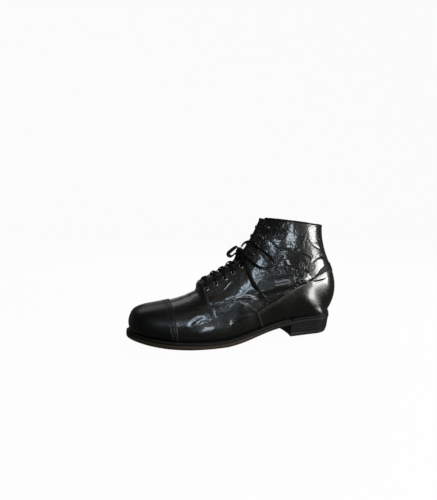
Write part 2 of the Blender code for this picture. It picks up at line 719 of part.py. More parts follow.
def slab(name, stations, edges, heights, finish, columns, hollow=0.0):
    """Solid between two faces of the sole's outline, each with its own inset and height function.

    hollow curves the front end back in the middle, as on a heel's breast.
    """
    across = np.linspace(-1, 1, columns)
    grids = []
    for inset, height in zip(edges, heights):
        along, outer, inner, centre = [value[:, None] for value in outline(stations, inset)]
        side = np.where(across < 0, centre + (centre - outer) * across, centre + (inner - centre) * across)
        fade = np.clip(1 - (stations - stations[0]) / HOLLOW_FADE, 0, 1)[:, None]
        along = along + hollow * fade * (1 - across ** 2)
        grids.append(np.stack([along, side, height(along + 0 * side)], axis=-1))
    return shell(name, grids[1], grids[0], finish)


def strip(name, stations, edges, heights, finish):
    """Band along the sole's edge, between two insets and two height functions."""
    columns = []
    for inset in edges:
        along, outer, inner, centre = outline(np.abs(stations), inset)
        columns.append((along, np.where(stations < 0, outer, inner)))
    grids = []
    for height in heights:
        rows = [np.stack([along, side, height(along)], axis=-1) for along, side in columns]
        grids.append(np.stack(rows, axis=1))
    return shell(name, grids[1], grids[0], finish)


def welt_top(along):
    """Face that the upper stands on, with a gap under its edge."""
    return seat_height(along) - FOOT_GAP


def outsole_top(along):
    """Face under the welt and the insole."""
    return seat_height(along) - WELT_THICK - GAP


def outsole_bottom(along):
    """Underside: flat on the floor at the tread, lifted at toe, arch and heel."""
    return np.maximum(outsole_top(along) - OUTSOLE_THICK, 0.0)


def welt_low(along):
    """Underside of welt, rand and insole."""
    return outsole_top(along) + GAP


def insole_top(along):
    """Face that the foot stands on."""
    return seat_height(along) + INSOLE_RISE


def heel_top(along):
    """Upper face of the heel stack."""
    return outsole_bottom(along) - GAP


def heel_low(along):
    """Lower face of the heel stack."""
    return np.full_like(along, TOP_LIFT_THICK + GAP)


def lift_top(along):
    """Upper face of the top lift."""
    return np.full_like(along, TOP_LIFT_THICK)


def floor(along):
    """Face that stands on the floor."""
    return np.zeros_like(along)


def make_sole():
    """Outsole, welt, heel rand and insole."""
    whole = rows_between([0, 1, 2, 3], [11, 15, 7])
    slab("outsole", whole, (FLUSH, FLUSH), (outsole_bottom, outsole_top), "edge", SOLE_COLUMNS)
    inside = rows_between([0, 1, 2, 3], [7, 9, 6])
    slab("insole", inside, (INSOLE_EDGE, INSOLE_EDGE), (welt_low, insole_top), "lining", SOLE_COLUMNS)
    front = rows_between([0, 1, BREAST], [9, 11])
    around = np.append(-front[::-1], front[1:])
    strip("welt", around, (WELT_EDGE, WELT_BACK), (welt_low, welt_top), "leather")
    rear = rows_between([BREAST + RAND_STEP, 2, 3], [2, 8])
    around = np.append(-rear, rear[::-1][1:])
    strip("heel_rand", around, (WELT_EDGE, WELT_BACK), (welt_low, welt_top), "leather")


def make_heel():
    """Stacked heel and its top lift, tapered towards the floor, with a hollow breast."""
    rear = rows_between([BREAST, 2, 3], [3, 8])
    slab("heel_stack", rear, (HEEL_MIDDLE_EDGE, HEEL_TOP_EDGE), (heel_low, heel_top), "leather",
         HEEL_COLUMNS, BREAST_HOLLOW)
    slab("top_lift", rear, (HEEL_FLOOR_EDGE, HEEL_MIDDLE_EDGE), (floor, lift_top), "rubber",
         HEEL_COLUMNS, BREAST_HOLLOW)


def place_on(number, side, distance, lift):
    """Point on the skin and its frame: forward to the slot, up along it, and outward."""
    share = from_ridge(number, side, distance)
    point = skin(number, share, lift)
    ahead = skin(number + 0.05, share, lift) - skin(number - 0.05, share, lift)
    forward = skin(number, from_ridge(number, side, distance - 1), lift) - point
    up = ahead / np.linalg.norm(ahead)
    out = np.cross(forward, up)
    out *= np.sign(np.dot(out, skin(number, share, lift + 1) - point)) / np.linalg.norm(out)
    forward = np.cross(up, out) * np.sign(np.dot(np.cross(up, out), forward))
    return point, forward, up, out


def turned_ring(name, frame, profile, sides, finish):
    """Ring turned about the outward axis from a closed profile of radius and height."""
    point, forward, up, out = frame
    turn = np.linspace(0, 2 * math.pi, sides, endpoint=False)
    verts = [point + radius * (math.cos(a) * forward + math.sin(a) * up) + rise * out
             for a in turn for radius, rise in profile]
    size = len(profile)
    faces = []
    for k in range(sides):
        for j in range(size):
            ring = [(k, j), ((k + 1) % sides, j), ((k + 1) % sides, (j + 1) % size), (k, (j + 1) % size)]
            faces.append([a * size + b for a, b in ring])
    return add_object(name, verts, faces, finish)


def make_eyelets():
    """Metal eyelets in pairs up the front."""
    crest = (EYELET_HOLE + EYELET_RADIUS) / 2
    profile = [(EYELET_HOLE, 0.0), (crest, EYELET_RISE), (EYELET_RADIUS, 0.0)]
    for label, side in (("outer", -1), ("inner", 1)):
        for k, number in enumerate(EYELET_SECTIONS):
            frame = place_on(number, side, ROW_FROM_RIDGE, GAP)
            turned_ring(f"eyelet_{label}_{k + 1}", frame, profile, EYELET_SIDES, "metal")


def make_hooks():
    """Lace hooks above the eyelets, open towards the back."""
    for label, side in (("outer", -1), ("inner", 1)):
        for k, number in enumerate(HOOK_SECTIONS):
            point, forward, up, out = place_on(number, side, ROW_FROM_RIDGE, 0.0)
            path = np.array([point + h.forward * forward + h.out * out for h in HOOK])
            run = np.gradient(path, axis=0)
            run /= np.linalg.norm(run, axis=1, keepdims=True)
            half = column(HOOK, "half")[:, None] * up
            middle = np.stack([path - half, path + half], axis=1)
            thick = HOOK_THICK / 2 * np.cross(run, up)[:, None]
            shell(f"hook_{label}_{k + 1}", middle + thick, middle - thick, "metal")


def make_lace_bars():
    """Crossed lacing as one strip: down one strand, across the bottom bar and up the other."""
    rows = list(range(len(EYELET_SECTIONS)))
    stops = [(k, -1 if k % 2 == 0 else 1) for k in reversed(rows)]
    stops += [(k, 1 if k % 2 == 0 else -1) for k in rows]
    number = np.array([EYELET_SECTIONS[k] for k, side in stops])
    reach = slot_half(number) + LACE_PAST_SLOT
    distance = reach * [side for k, side in stops]
    number = np.concatenate([[UNDER_KNOT.section], number, [UNDER_KNOT.section]])
    distance = np.concatenate([[-UNDER_KNOT.half], distance, [UNDER_KNOT.half]])
    turns = np.arange(len(number))
    fine = np.linspace(0, turns[-1], turns[-1] * LACE_STEPS + 1)
    number = np.interp(fine, turns, number)
    distance = np.interp(fine, turns, distance)
    share = np.where(distance < 0, distance / girth(number, -1), distance / girth(number, 1))
    middle = turns[-1] / 2
    lift = GAP + 0.2 + (LACE_THICK + GAP) * np.clip(fine - middle + 0.5, 0, 1)
    centre = skin(number, share, lift)
    out = skin(number, share, lift + 1) - centre
    run = np.gradient(centre, axis=0)
    wide = np.cross(run, out)
    wide /= np.linalg.norm(wide, axis=1, keepdims=True)
    half = LACE_WIDTH / 2 * wide
    low = np.stack([centre - half, centre + half], axis=1)
    shell("lace_bars", low + LACE_THICK * out[:, None], low, "lace")


def smooth_route(points, step):
    """Evenly spaced points on a smooth curve through the route."""
    route = np.array(points, float)
    marks = np.concatenate([[0], np.cumsum(np.linalg.norm(np.diff(route, axis=0), axis=1))])
    fine = np.linspace(0, marks[-1], 200)
    curve = np.stack([spline(marks, route[:, axis], fine) for axis in range(3)], axis=1)
    run = np.concatenate([[0], np.cumsum(np.linalg.norm(np.diff(curve, axis=0), axis=1))])
    even = np.linspace(0, run[-1], max(4, round(run[-1] / step)))
    return np.stack([np.interp(even, run, curve[:, axis]) for axis in range(3)], axis=1)


def tube(name, points, radius, finish):
    """Round cord along a row of points, with filled ends."""
    data = bpy.data.curves.new(name, "CURVE")
    data.dimensions = "3D"
    data.bevel_depth = radius * MM
    data.bevel_resolution = 2
    data.use_fill_caps = True
    line = data.splines.new("POLY")
    line.points.add(len(points) - 1)
    moved = (np.asarray(points) - (ORIGIN_ALONG, ORIGIN_SIDE, 0.0)) * MM
    for target, place in zip(line.points, moved):
        target.co = (*place, 1.0)
    data.materials.append(material(name, finish))
    made = bpy.data.objects.new(name, data)
    bpy.context.scene.collection.objects.link(made)
    return made


def make_bow():
    """Knot, two loops and two ends with their stiff tips."""
    ball = bmesh.new()
    bmesh.ops.create_uvsphere(ball, u_segments=10, v_segments=7, radius=1.0)
    verts = [np.array(KNOT) + np.array(KNOT_HALF) * np.array(v.co) for v in ball.verts]
    faces = [[v.index for v in face.verts] for face in ball.faces]
    ball.free()
    add_object("lace_knot", verts, faces, "lace")
    for name, route in BOW.items():
        points = smooth_route(route, CORD_STEP)
        tube(name, points, CORD_RADIUS, "lace")
        if "end" in name:
            run = points[-1] - points[-2]
            run /= np.linalg.norm(run)
            tip = np.linspace(points[-1] + GAP * run, points[-1] + (GAP + TIP_LENGTH) * run, 3)
            tube(name.replace("end", "tip"), tip, TIP_RADIUS, "tip")


def main():
    for old in list(bpy.data.objects):
        bpy.data.objects.remove(old, do_unlink=True)
    make_sole()
    make_heel()
    make_upper()
    make_tongue()
    make_toe_cap()
    make_quarters()
    make_foxing()
    make_binding()
    make_eyelets()
    make_hooks()
    make_lace_bars()
    make_bow()


main()
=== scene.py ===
"""Looks of a worn left ankle boot of black leather: creased and stitched panels, lining, welted sole,
stacked heel, eyelets, hooks and a tied lace, each laid where its CAD solid is.

Lengths are millimetres in the boot's own frame: along from the toe, side towards the inner foot, height.
The skin is a fan of sections: section numbers run from 0 at the toe tip to 24 at the collar, and the
share runs from -1 at the outer foot, through 0 on the ridge, to 1 at the inner foot.
"""

import math
from collections import namedtuple

import bmesh
import bpy
import numpy as np
from mathutils import Matrix, Vector


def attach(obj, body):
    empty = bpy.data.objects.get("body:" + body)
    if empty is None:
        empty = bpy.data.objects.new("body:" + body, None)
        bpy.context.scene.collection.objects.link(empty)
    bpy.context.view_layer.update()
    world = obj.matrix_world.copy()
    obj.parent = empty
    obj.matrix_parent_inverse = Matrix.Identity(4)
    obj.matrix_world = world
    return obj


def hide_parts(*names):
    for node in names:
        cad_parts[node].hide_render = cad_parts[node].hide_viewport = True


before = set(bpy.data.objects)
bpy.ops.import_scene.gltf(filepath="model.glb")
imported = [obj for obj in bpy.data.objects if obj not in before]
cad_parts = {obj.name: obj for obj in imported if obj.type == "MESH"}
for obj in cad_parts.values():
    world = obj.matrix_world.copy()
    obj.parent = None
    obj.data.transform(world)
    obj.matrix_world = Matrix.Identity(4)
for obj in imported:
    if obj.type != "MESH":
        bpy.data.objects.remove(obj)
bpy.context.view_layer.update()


def table(fields, *rows):
    """Columns of a table by name, each an array, from its rows."""
    return namedtuple("Table", fields)(*np.array(rows, float).T)


MM = 0.001
ORIGIN = np.array([151.5, -2.0, 0.0])
SIDES = {-1: "outer", 1: "inner"}
SOLE_LENGTH = 295.0
BALL_WIDTH = 96.5
COLLAR_HEIGHT = 165.0
SEAT_HEIGHT = 29.5
TOE_ARC = 58.0
HEEL_ARC = 34.0

# Levels below the outermost surface, and thicknesses of the bottom
PANEL = 1.3
LINING = 4.0
TONGUE_TOP = 5.3
TONGUE_LOW = 7.0
WELT_THICK = 3.0
OUTSOLE_THICK = 5.3
TOP_LIFT_THICK = 6.0

# Sole outline at shares of its length: half widths, and the middle line's shift, as shares of the ball width
PLAN = table(
    "along outer inner",
    (0.000, 0.425, 0.383), (0.136, 0.472, 0.430), (0.254, 0.530, 0.472), (0.356, 0.548, 0.466),
    (0.475, 0.492, 0.383), (0.593, 0.399, 0.295), (0.695, 0.358, 0.280), (0.814, 0.347, 0.316),
    (0.908, 0.347, 0.337), (1.000, 0.332, 0.321))
SWING = table("along shift", (0.0, 0.062), (0.17, 0.041), (0.34, 0.010), (0.475, 0.0), (1.0, 0.0))

# Height of the welt's top face as a share of the height of the heel seat
SEAT = table(
    "along height",
    (0.000, 0.634), (0.102, 0.444), (0.203, 0.325), (0.305, 0.278), (0.390, 0.278),
    (0.508, 0.400), (0.644, 0.700), (0.763, 0.885), (0.881, 0.959), (1.000, 1.000))

# Distance in from the sole's edge: along toe and ball, at the waist, round the heel
INSET_STOPS = [0.0, 0.373, 0.576, 0.763, 0.881, 1.0]
FEATHER = np.array([5.0, 4.0, 1.7])
INSOLE_EDGE = np.array([9.8, 8.8, 6.8])
HEEL_TOP_EDGE = np.array([0.8, 0.8, 0.8])
HEEL_MIDDLE_EDGE = np.array([1.4, 1.4, 2.4])
HEEL_FLOOR_EDGE = np.array([1.8, 1.8, 4.4])
BREAST = 1.80
BREAST_HOLLOW = 3.0

# Sections that stand on the feather edge, then those that stand on the back seam
SECTIONS = table(
    "along height station outer inner ridge crown flank",
    (0.019, 0.111, 0.000, 0.000, 0.000, 0.062, 2.00, 2.00),
    (0.012, 0.147, 0.155, 0.138, 0.126, 0.062, 2.00, 2.00),
    (0.012, 0.187, 0.300, 0.230, 0.211, 0.060, 2.00, 2.00),
    (0.020, 0.231, 0.445, 0.307, 0.279, 0.058, 2.10, 2.00),
    (0.037, 0.272, 0.600, 0.374, 0.335, 0.056, 2.20, 2.00),
    (0.073, 0.300, 0.770, 0.427, 0.380, 0.054, 2.20, 2.00),
    (0.124, 0.315, 0.920, 0.460, 0.411, 0.052, 2.20, 2.00),
    (0.203, 0.338, 1.060, 0.493, 0.442, 0.048, 2.10, 2.00),
    (0.285, 0.384, 1.165, 0.521, 0.453, 0.042, 1.95, 2.00),
    (0.351, 0.447, 1.275, 0.514, 0.435, 0.036, 1.85, 2.00),
    (0.410, 0.512, 1.400, 0.481, 0.400, 0.029, 1.80, 2.00),
    (0.463, 0.582, 1.550, 0.441, 0.375, 0.021, 1.85, 2.00),
    (0.510, 0.661, 1.720, 0.410, 0.373, 0.013, 1.92, 2.10),
    (0.546, 0.748, 1.900, 0.392, 0.373, 0.006, 2.00, 2.25),
    (0.566, 0.810, 2.120, 0.383, 0.373, 0.002, 2.00, 2.40),
    (0.580, 0.852, 2.550, 0.375, 0.370, 0.000, 2.00, 2.40),
    (0.587, 0.875, 3.000, 0.368, 0.363, 0.000, 2.00, 2.40))
BACK_SECTIONS = table(
    "along height back rise half crown flank",
    (0.593, 0.895, 1.022, 0.279, 0.359, 2.00, 2.40),
    (0.599, 0.915, 1.027, 0.382, 0.352, 2.00, 2.40),
    (0.605, 0.936, 1.015, 0.491, 0.347, 2.00, 2.35),
    (0.611, 0.954, 0.992, 0.588, 0.342, 2.00, 2.30),
    (0.616, 0.970, 0.966, 0.682, 0.338, 2.00, 2.30),
    (0.620, 0.982, 0.947, 0.776, 0.336, 2.00, 2.30),
    (0.623, 0.992, 0.937, 0.861, 0.335, 2.00, 2.30),
    (0.625, 1.000, 0.934, 0.939, 0.335, 2.00, 2.30))
HEEL_POINT = len(SECTIONS.along) - 1
COLLAR = HEEL_POINT + len(BACK_SECTIONS.along)
EASE_REACH = 3.0
EASE_EDGE = 0.12
EASE_PASSES = 40
GRID_STEPS = 6
GRID_HALF = 60

# Half width of the slot, and the height by which facings, tongue and wall stand up beside it
SLOT = table("section half", (8.9, 5.0), (10.5, 8.5), (12.0, 11.0), (16.0, 11.5), (24.0, 10.0))
THROAT = 8.9
RISE = table("section height", (8.90, 8.5), (9.40, 8.5), (9.80, 8.0), (10.50, 6.5), (11.20, 4.5),
             (11.90, 2.0), (12.30, 0.0))
RISE_REACH = 36.0
RAMP = (8.45, 8.72)
TAB_SLANT = 0.15
TAB_STRAIGHT = 9.05
CAP_RIDGE = 6.92
CAP_FOOT = 6.66

# Seams: section number and share of the way from slot to foot
VAMP_SEAM = table(
    "section share", (8.65, 0.430), (9.40, 0.465), (10.10, 0.500), (10.70, 0.572), (11.15, 0.738))
FOXING_SIDE = table(
    "section share", (11.15, 0.738), (11.80, 0.706), (12.50, 0.672), (13.04, 0.635), (13.60, 0.612),
    (14.10, 0.601), (14.83, 0.586), (16.00, 0.564))
FOXING_BACK = table(
    "section share", (16.00, 0.564), (16.83, 0.580), (17.30, 0.600), (17.75, 0.630), (18.33, 0.681),
    (18.83, 0.738), (19.16, 0.800), (19.32, 0.860), (19.36, 0.930), (19.30, 1.000))
STRIP_TOP = table(
    "section share", (16.05, 0.562), (17.30, 0.580), (18.21, 0.617), (18.80, 0.665), (19.21, 0.708),
    (19.83, 0.793), (20.15, 0.880), (20.25, 1.000))
TAB_FRONT = VAMP_SEAM.section[0]
FOXING_FRONT = FOXING_SIDE.section[0]

# Creases: width and depth of the trough, and its line as section numbers and shares, laid on the outer side
CREASES = [
    (2.6, 1.1, [(9.75, -0.473), (10.62, -0.510), (11.04, -0.537), (11.29, -0.580), (11.71, -0.717)]),
    (6.5, -1.5, [(11.50, -0.500), (12.12, -0.537), (13.12, -0.567), (13.75, -0.567), (14.92, -0.550),
                 (16.6, -0.550)]),
    (4.0, 1.0, [(11.60, -0.555), (12.17, -0.603), (13.12, -0.627), (13.83, -0.613), (15.2, -0.590)]),
    (3.2, 0.4, [(16.54, -0.133), (16.42, -0.187), (16.00, -0.267), (15.46, -0.360), (15.21, -0.453)]),
    (3.0, -0.35, [(17.60, -0.110), (19.33, -0.167), (20.96, -0.233), (22.60, -0.305)]),
    (2.6, 0.4, [(17.20, -0.125), (18.90, -0.190), (20.40, -0.262), (21.90, -0.330)]),
    (1.8, 0.6, [(15.46, -0.280), (16.42, -0.293), (17.25, -0.333), (18.25, -0.383), (18.83, -0.423)]),
    (1.3, 0.5, [(21.29, -0.543), (21.04, -0.600), (20.96, -0.667), (20.96, -0.730)]),
    (2.2, 0.7, [(18.33, -0.547), (19.42, -0.630), (20.21, -0.727), (20.21, -0.790)]),
    (2.0, 0.5, [(17.67, -0.403), (18.38, -0.450), (18.58, -0.503), (18.58, -0.547)]),
    (2.4, 0.5, [(16.17, -0.613), (16.75, -0.643), (17.21, -0.677), (18.00, -0.743)]),
    (2.4, 0.5, [(14.83, -0.390), (15.54, -0.430), (16.25, -0.470), (16.88, -0.533)]),
    (1.3, 0.5, [(8.62, -0.490), (8.71, -0.553), (8.71, -0.640)]),
    (1.3, 0.5, [(8.88, -0.500), (8.88, -0.577), (8.92, -0.670)]),
    (2.6, 0.7, [(7.38, -0.760), (7.62, -0.667), (7.96, -0.627), (8.25, -0.617)]),
    (2.2, 0.6, [(7.70, -0.720), (7.95, -0.680), (8.17, -0.657), (8.50, -0.660)]),
    (3.2, -0.7, [(9.45, -0.940), (9.75, -0.837), (10.00, -0.770), (10.46, -0.753), (10.92, -0.757)]),
    (1.6, 0.5, [(9.67, -0.720), (9.71, -0.807), (9.67, -0.890)]),
    (3.0, 0.6, [(13.88, -0.120), (13.79, -0.193), (13.75, -0.267), (13.83, -0.340)]),
    (1.6, -0.5, [(9.80, -0.335), (10.38, -0.283), (10.85, -0.245)]),
    (3.0, 0.45, [(7.55, -0.50), (7.72, -0.25), (7.78, 0.00), (7.72, 0.25), (7.55, 0.50)]),
    (2.6, 0.40, [(8.05, -0.46), (8.22, -0.22), (8.28, 0.02), (8.20, 0.24), (8.05, 0.48)]),
]
CREASE_POINTS = 24
INNER_SHIFT = 0.18
INNER_DEPTH = 0.8

# Fine wrinkles: size and depth, and the slower noise that pushes them about
WRINKLES = [(17.0, 0.38), (8.5, 0.18), (4.6, 0.08)]
LATTICE = np.random.default_rng(11).normal(size=(24, 24, 24, 3))
LATTICE_GAIN = 1.6
BEND_SIZE = 21.0
BEND_REACH = 5.0
BEND_SHIFTS = (0.0, 131.0, 277.0)
WRINKLE_SHIFT = 57.0
PAD_TOP = 0.6
PAD_MIDDLE = 0.25

# Start and length of the wrinkles' fading: behind the cap, on the counter, down from its top, at the rear
CAP_FADE = (62.0, 22.0)
COUNTER_FADE = (200.0, 25.0)
COUNTER_TOP = (100.0, -14.0)
REAR_FADE = (215.0, 30.0)
COUNTER_CALM = 0.9
REAR_CALM = 0.4

# Eyelets and hooks
EYELET_SECTIONS = [9.00, 9.69, 10.40, 11.06, 11.78]
HOOK_SECTIONS = [13.0, 14.05, 16.05, 19.5]
ROW_FROM_RIDGE = 20.4
HOLE_CUT = 2.6
HOLE_DEPTH = 7
EYELET = table(
    "radius rise", (3.40, -0.10), (3.38, 0.25), (3.10, 0.58), (2.60, 0.75), (2.15, 0.62), (1.88, 0.25),
    (1.80, -0.40), (1.80, -4.10), (2.00, -4.45), (2.60, -4.60), (3.10, -4.40), (3.20, -4.00))
HOOK = table(
    "forward out half", (-3.4, 0.45, 0.2), (-2.6, 0.5, 1.9), (-0.8, 0.5, 3.0), (2.0, 0.6, 2.4),
    (3.5, 1.4, 1.6), (3.8, 2.8, 1.6), (2.4, 3.9, 1.9), (-0.2, 4.2, 2.5), (-2.0, 4.05, 1.5), (-2.5, 3.95, 0.2))
HOOK_THICK = 0.9
HOOK_TAPER = 0.8
RIVET = table("radius rise", (1.7, 0.7), (1.6, 1.15), (1.1, 1.4), (0.5, 1.5), (0.0, 1.52))
RIVET_BACK = 0.8

# Lace: flat in the bow, narrower on the facings, bunched in holes, pinched at the knot, crimped at the tips
LACE_WIDTH = 5.0
LACE_THICK = 1.1
STRAND_WIDTH = 3.9
BUNCHED_WIDTH = 2.2
BUNCHED_THICK = 1.3
LOOP_THICK = 1.4
PINCH_REACH = 9
PINCHED_WIDTH = 3.4
PINCHED_THICK = 1.5
CRIMP_REACH = 8
CRIMPED_WIDTH = 2.6
CRIMPED_THICK = 1.7
TIP = table(
    "radius rise", (0.0, 0.0), (1.25, 0.0), (1.42, 0.4), (1.42, 1.6), (1.2, 2.0), (1.3, 2.6), (1.3, 18.5),
    (1.15, 19.8), (0.8, 20.7), (0.0, 21.0))

# Routes of the bow: along, side, height
KNOT = np.array([151.0, -9.0, 121.0])
BOW = {
    "loop_front": [
        (146.6, -12.2, 125.7), (143.8, -14.6, 125.6), (140.0, -17.2, 123.8), (133.8, -20.4, 120.0),
        (131.0, -21.6, 116.8), (133.3, -21.4, 114.3), (140.1, -18.0, 116.0), (146.6, -11.6, 118.6),
    ],
    "loop_side": [
        (154.1, -7.6, 125.4), (157.5, -6.5, 129.5), (162.5, -9.0, 132.5), (166.0, -15.5, 132.0),
        (170.0, -22.8, 127.0), (177.0, -28.8, 121.0), (183.5, -32.4, 116.0), (188.0, -35.0, 110.0),
        (189.5, -36.4, 105.0), (186.0, -36.6, 100.5), (175.0, -34.0, 100.0), (165.5, -28.0, 104.5),
        (159.0, -20.5, 111.5), (154.1, -13.0, 118.6),
    ],
    "end_outer": [
        (151.7, -11.8, 116.2), (153.0, -17.0, 109.5), (156.0, -24.8, 99.5), (158.5, -32.0, 90.5),
        (161.0, -37.5, 81.0), (165.0, -40.5, 74.5), (167.5, -41.3, 71.5),
    ],
    "end_inner": [
        (151.5, -3.4, 121.3), (152.0, 1.5, 121.3), (154.0, 9.5, 118.5), (156.0, 17.5, 112.5),
        (157.5, 25.0, 103.5),
    ],
}
BOW_STEP = 1.2
LOOP_LEAN = {"loop_front": 48.0, "loop_side": 12.0}
END_FACE = {"end_outer": (-0.3, -0.85, 0.4), "end_inner": (-0.3, 0.85, 0.4)}

# The photograph's view: camera place and aim, focal length in pixels, middle of the view, roll
IMAGE = (437.0, 500.0)
CAMERA_PLACE = (-1.96, -468.2, 156.67)
CAMERA_AIM = (150.0, 0.0, 70.0)
FOCAL = 356.87
VIEW_MIDDLE = (236.45, 286.14)
ROLL = 0.55
SENSOR = 36.0

TINY = 1e-6
FAR = 99.0
CHUNK = 4000


# Curves and arrays

def spline(knots, values, where):
    """Natural cubic curve through the knots, read at the places asked for."""
    where = np.asarray(where, float)
    count, step = len(knots), np.diff(knots)
    rise = np.diff(values) / step
    system, right = np.eye(count), np.zeros(count)
    for k in range(1, count - 1):
        system[k, k - 1:k + 2] = step[k - 1], 2 * (step[k - 1] + step[k]), step[k]
        right[k] = 6 * (rise[k] - rise[k - 1])
    bend = np.linalg.solve(system, right)
    k = np.clip(np.searchsorted(knots, where) - 1, 0, count - 2)
    ahead = where - knots[k]
    slope = rise[k] - step[k] * (2 * bend[k] + bend[k + 1]) / 6
    cubic = (bend[k + 1] - bend[k]) / (6 * step[k])
    return values[k] + ahead * (slope + ahead * (bend[k] / 2 + ahead * cubic))


def smooth_step(share):
    """Rise from 0 to 1 with level ends: 3 s s - 2 s s s."""
    share = np.clip(share, 0, 1)
    return share * share * (3 - 2 * share)


def fade_in(place, start, length):
    """Smooth rise from 0 to 1 over a length that begins at a start."""
    return smooth_step((place - start) / length)


def bell(distance, width):
    """Smooth hump of height 1: exp(-d d / w w)."""
    return np.exp(-(distance / width) ** 2)


def powered(value, power):
    """Power of a value's size, with its sign."""
    return np.sign(value) * np.abs(value) ** power


def unit(vectors):
    """Vectors scaled to length 1."""
    return vectors / np.maximum(np.linalg.norm(vectors, axis=-1, keepdims=True), 1e-12)


def evened(values, reach):
    """Values averaged with their neighbours up to a reach on both sides."""
    count = 2 * reach + 1
    return np.convolve(np.pad(values, reach, mode="edge"), np.full(count, 1 / count), mode="valid")


def run_of(points, least=0.0):
    """Length along a line of points up to each of them, no step counting less than a least one."""
    steps = np.maximum(np.linalg.norm(np.diff(points, axis=0), axis=1), least)
    return np.concatenate([[0], np.cumsum(steps)])


def read_line(where, run, values):
    """Points of a line at lengths along it."""
    return np.stack([np.interp(where, run, values[:, axis]) for axis in range(3)], axis=1)


def curve_through(where, run, values):
    """Points at lengths along a natural cubic curve through a line's points."""
    return np.stack([spline(run, values[:, axis], where) for axis in range(3)], axis=1)


def line_distance(points, line):
    """Distance from points to a line of short pieces, and how far along it the nearest place is, 0 to 1."""
    start, run = line[:-1], np.diff(line, axis=0)
    length = np.maximum((run ** 2).sum(axis=1), 1e-12)
    gap, along = np.empty(len(points)), np.empty(len(points))
    for first in range(0, len(points), CHUNK):
        part = slice(first, first + CHUNK)
        away = points[part, None] - start
        share = np.clip((away * run).sum(axis=2) / length, 0, 1)
        distance = np.linalg.norm(away - share[..., None] * run, axis=2)
        best = distance.argmin(axis=1)
        rows = np.arange(len(best))
        gap[part] = distance[rows, best]
        along[part] = (best + share[rows, best]) / len(run)
    return gap, along


# Skin

def seat_height(along):
    """Height of the welt's top face at a distance from the toe."""
    share = np.clip(np.asarray(along, float) / SOLE_LENGTH, 0.0, 1.0)
    return SEAT_HEIGHT * spline(SEAT.along, SEAT.height, share)


def outline(station, inset):
    """Along, outer side, inner side and centre line of the sole's outline, taken in by an inset.

    Stations run round the toe's quarter ellipse from 0 to 1, straight on to 2 and round the heel's to 3.
    """
    station = np.asarray(station, float)
    toe = np.clip(station, 0, 1) * math.pi / 2
    heel = np.clip(station - 2, 0, 1) * math.pi / 2
    straight = SOLE_LENGTH - TOE_ARC - HEEL_ARC
    along = TOE_ARC * (1 - np.cos(toe)) + straight * np.clip(station - 1, 0, 1) + HEEL_ARC * np.sin(heel)
    closing = np.where(station < 1, np.sin(toe), np.cos(heel))
    share = along / SOLE_LENGTH
    outer, inner = (BALL_WIDTH * spline(PLAN.along, half, share) for half in (PLAN.outer, PLAN.inner))
    centre = BALL_WIDTH * spline(SWING.along, SWING.shift, share)
    taken = np.interp(share, INSET_STOPS, np.repeat(np.broadcast_to(inset, 3), 2))
    moved = along + np.where(station < 1, taken * np.cos(toe), 0) - taken * np.sin(heel)
    return moved, centre - (outer - taken) * closing, centre + (inner - taken) * closing, centre


def section_values(number):
    """Head, foot, half widths and roundness of the sections at these section numbers."""
    rows = np.arange(COLLAR + 1)
    front, back = SECTIONS, BACK_SECTIONS

    def read(front_values, back_values):
        return spline(rows, np.append(front_values, back_values), number)

    head = SOLE_LENGTH * read(front.along, back.along), COLLAR_HEIGHT * read(front.height, back.height)
    half = BALL_WIDTH * read(front.outer, back.half), BALL_WIDTH * read(front.inner, back.half)
    ridge = BALL_WIDTH * read(front.ridge, 0 * back.half)
    station = spline(rows[:HEEL_POINT + 1], front.station, np.clip(number, 0, HEEL_POINT))
    along, foot_outer, foot_inner, centre = outline(np.clip(station, 0, 3), FEATHER)
    seam_along = np.append(outline(3.0, FEATHER)[0], SOLE_LENGTH * back.back)
    seam_height = np.append(SEAT_HEIGHT, COLLAR_HEIGHT * back.rise)
    behind, back_rows = number > HEEL_POINT, rows[HEEL_POINT:]
    foot = (np.where(behind, spline(back_rows, seam_along, number), along),
            np.where(behind, spline(back_rows, seam_height, number), seat_height(along)))
    reach = np.where(behind, 0, centre - foot_outer), np.where(behind, 0, foot_inner - centre)
    return dict(head=head, foot=foot, ridge=ridge, centre=np.where(behind, 0, centre), half=half, reach=reach,
                crown=read(front.crown, back.crown), flank=read(front.flank, back.flank))


def half_sections(values, side):
    """Points from ridge to foot on one side of every section, evenly spaced, and the girths.

    Each half section is a rounded power curve: at angle a from the crown it stands out by
    half * sin(a) and has come down by 1 - cos(a), both raised to 2 / roundness.
    """
    half = np.maximum(values["half"][side], TINY)[:, None]
    reach = np.minimum(values["reach"][side][:, None], half * 0.9999)
    crown, flank = values["crown"][:, None], values["flank"][:, None]
    last = math.pi - np.arcsin(np.clip(reach / half, 0, 1) ** (flank / 2))
    angle = last * np.linspace(0, 1, 4 * GRID_HALF + 1)
    power = 2 / np.where(np.cos(angle) > 0, crown, flank)
    drop = 1 - powered(np.cos(angle), power)
    drop = drop / drop[:, -1:]
    out = half * np.abs(np.sin(angle)) ** power
    out[:, -1:] = reach
    head, foot = values["head"], values["foot"]
    along, height = (head[k][:, None] + drop * (foot[k] - head[k])[:, None] for k in (0, 1))
    middle = values["ridge"][:, None] + drop * (values["centre"] - values["ridge"])[:, None]
    fine = np.stack([along, middle + (2 * side - 1) * out, height], axis=-1)
    runs = [run_of(line) for line in fine]
    even = np.linspace(0, 1, GRID_HALF + 1)
    points = np.array([read_line(even * run[-1], run, line) for run, line in zip(runs, fine)])
    return points, np.array([run[-1] for run in runs])


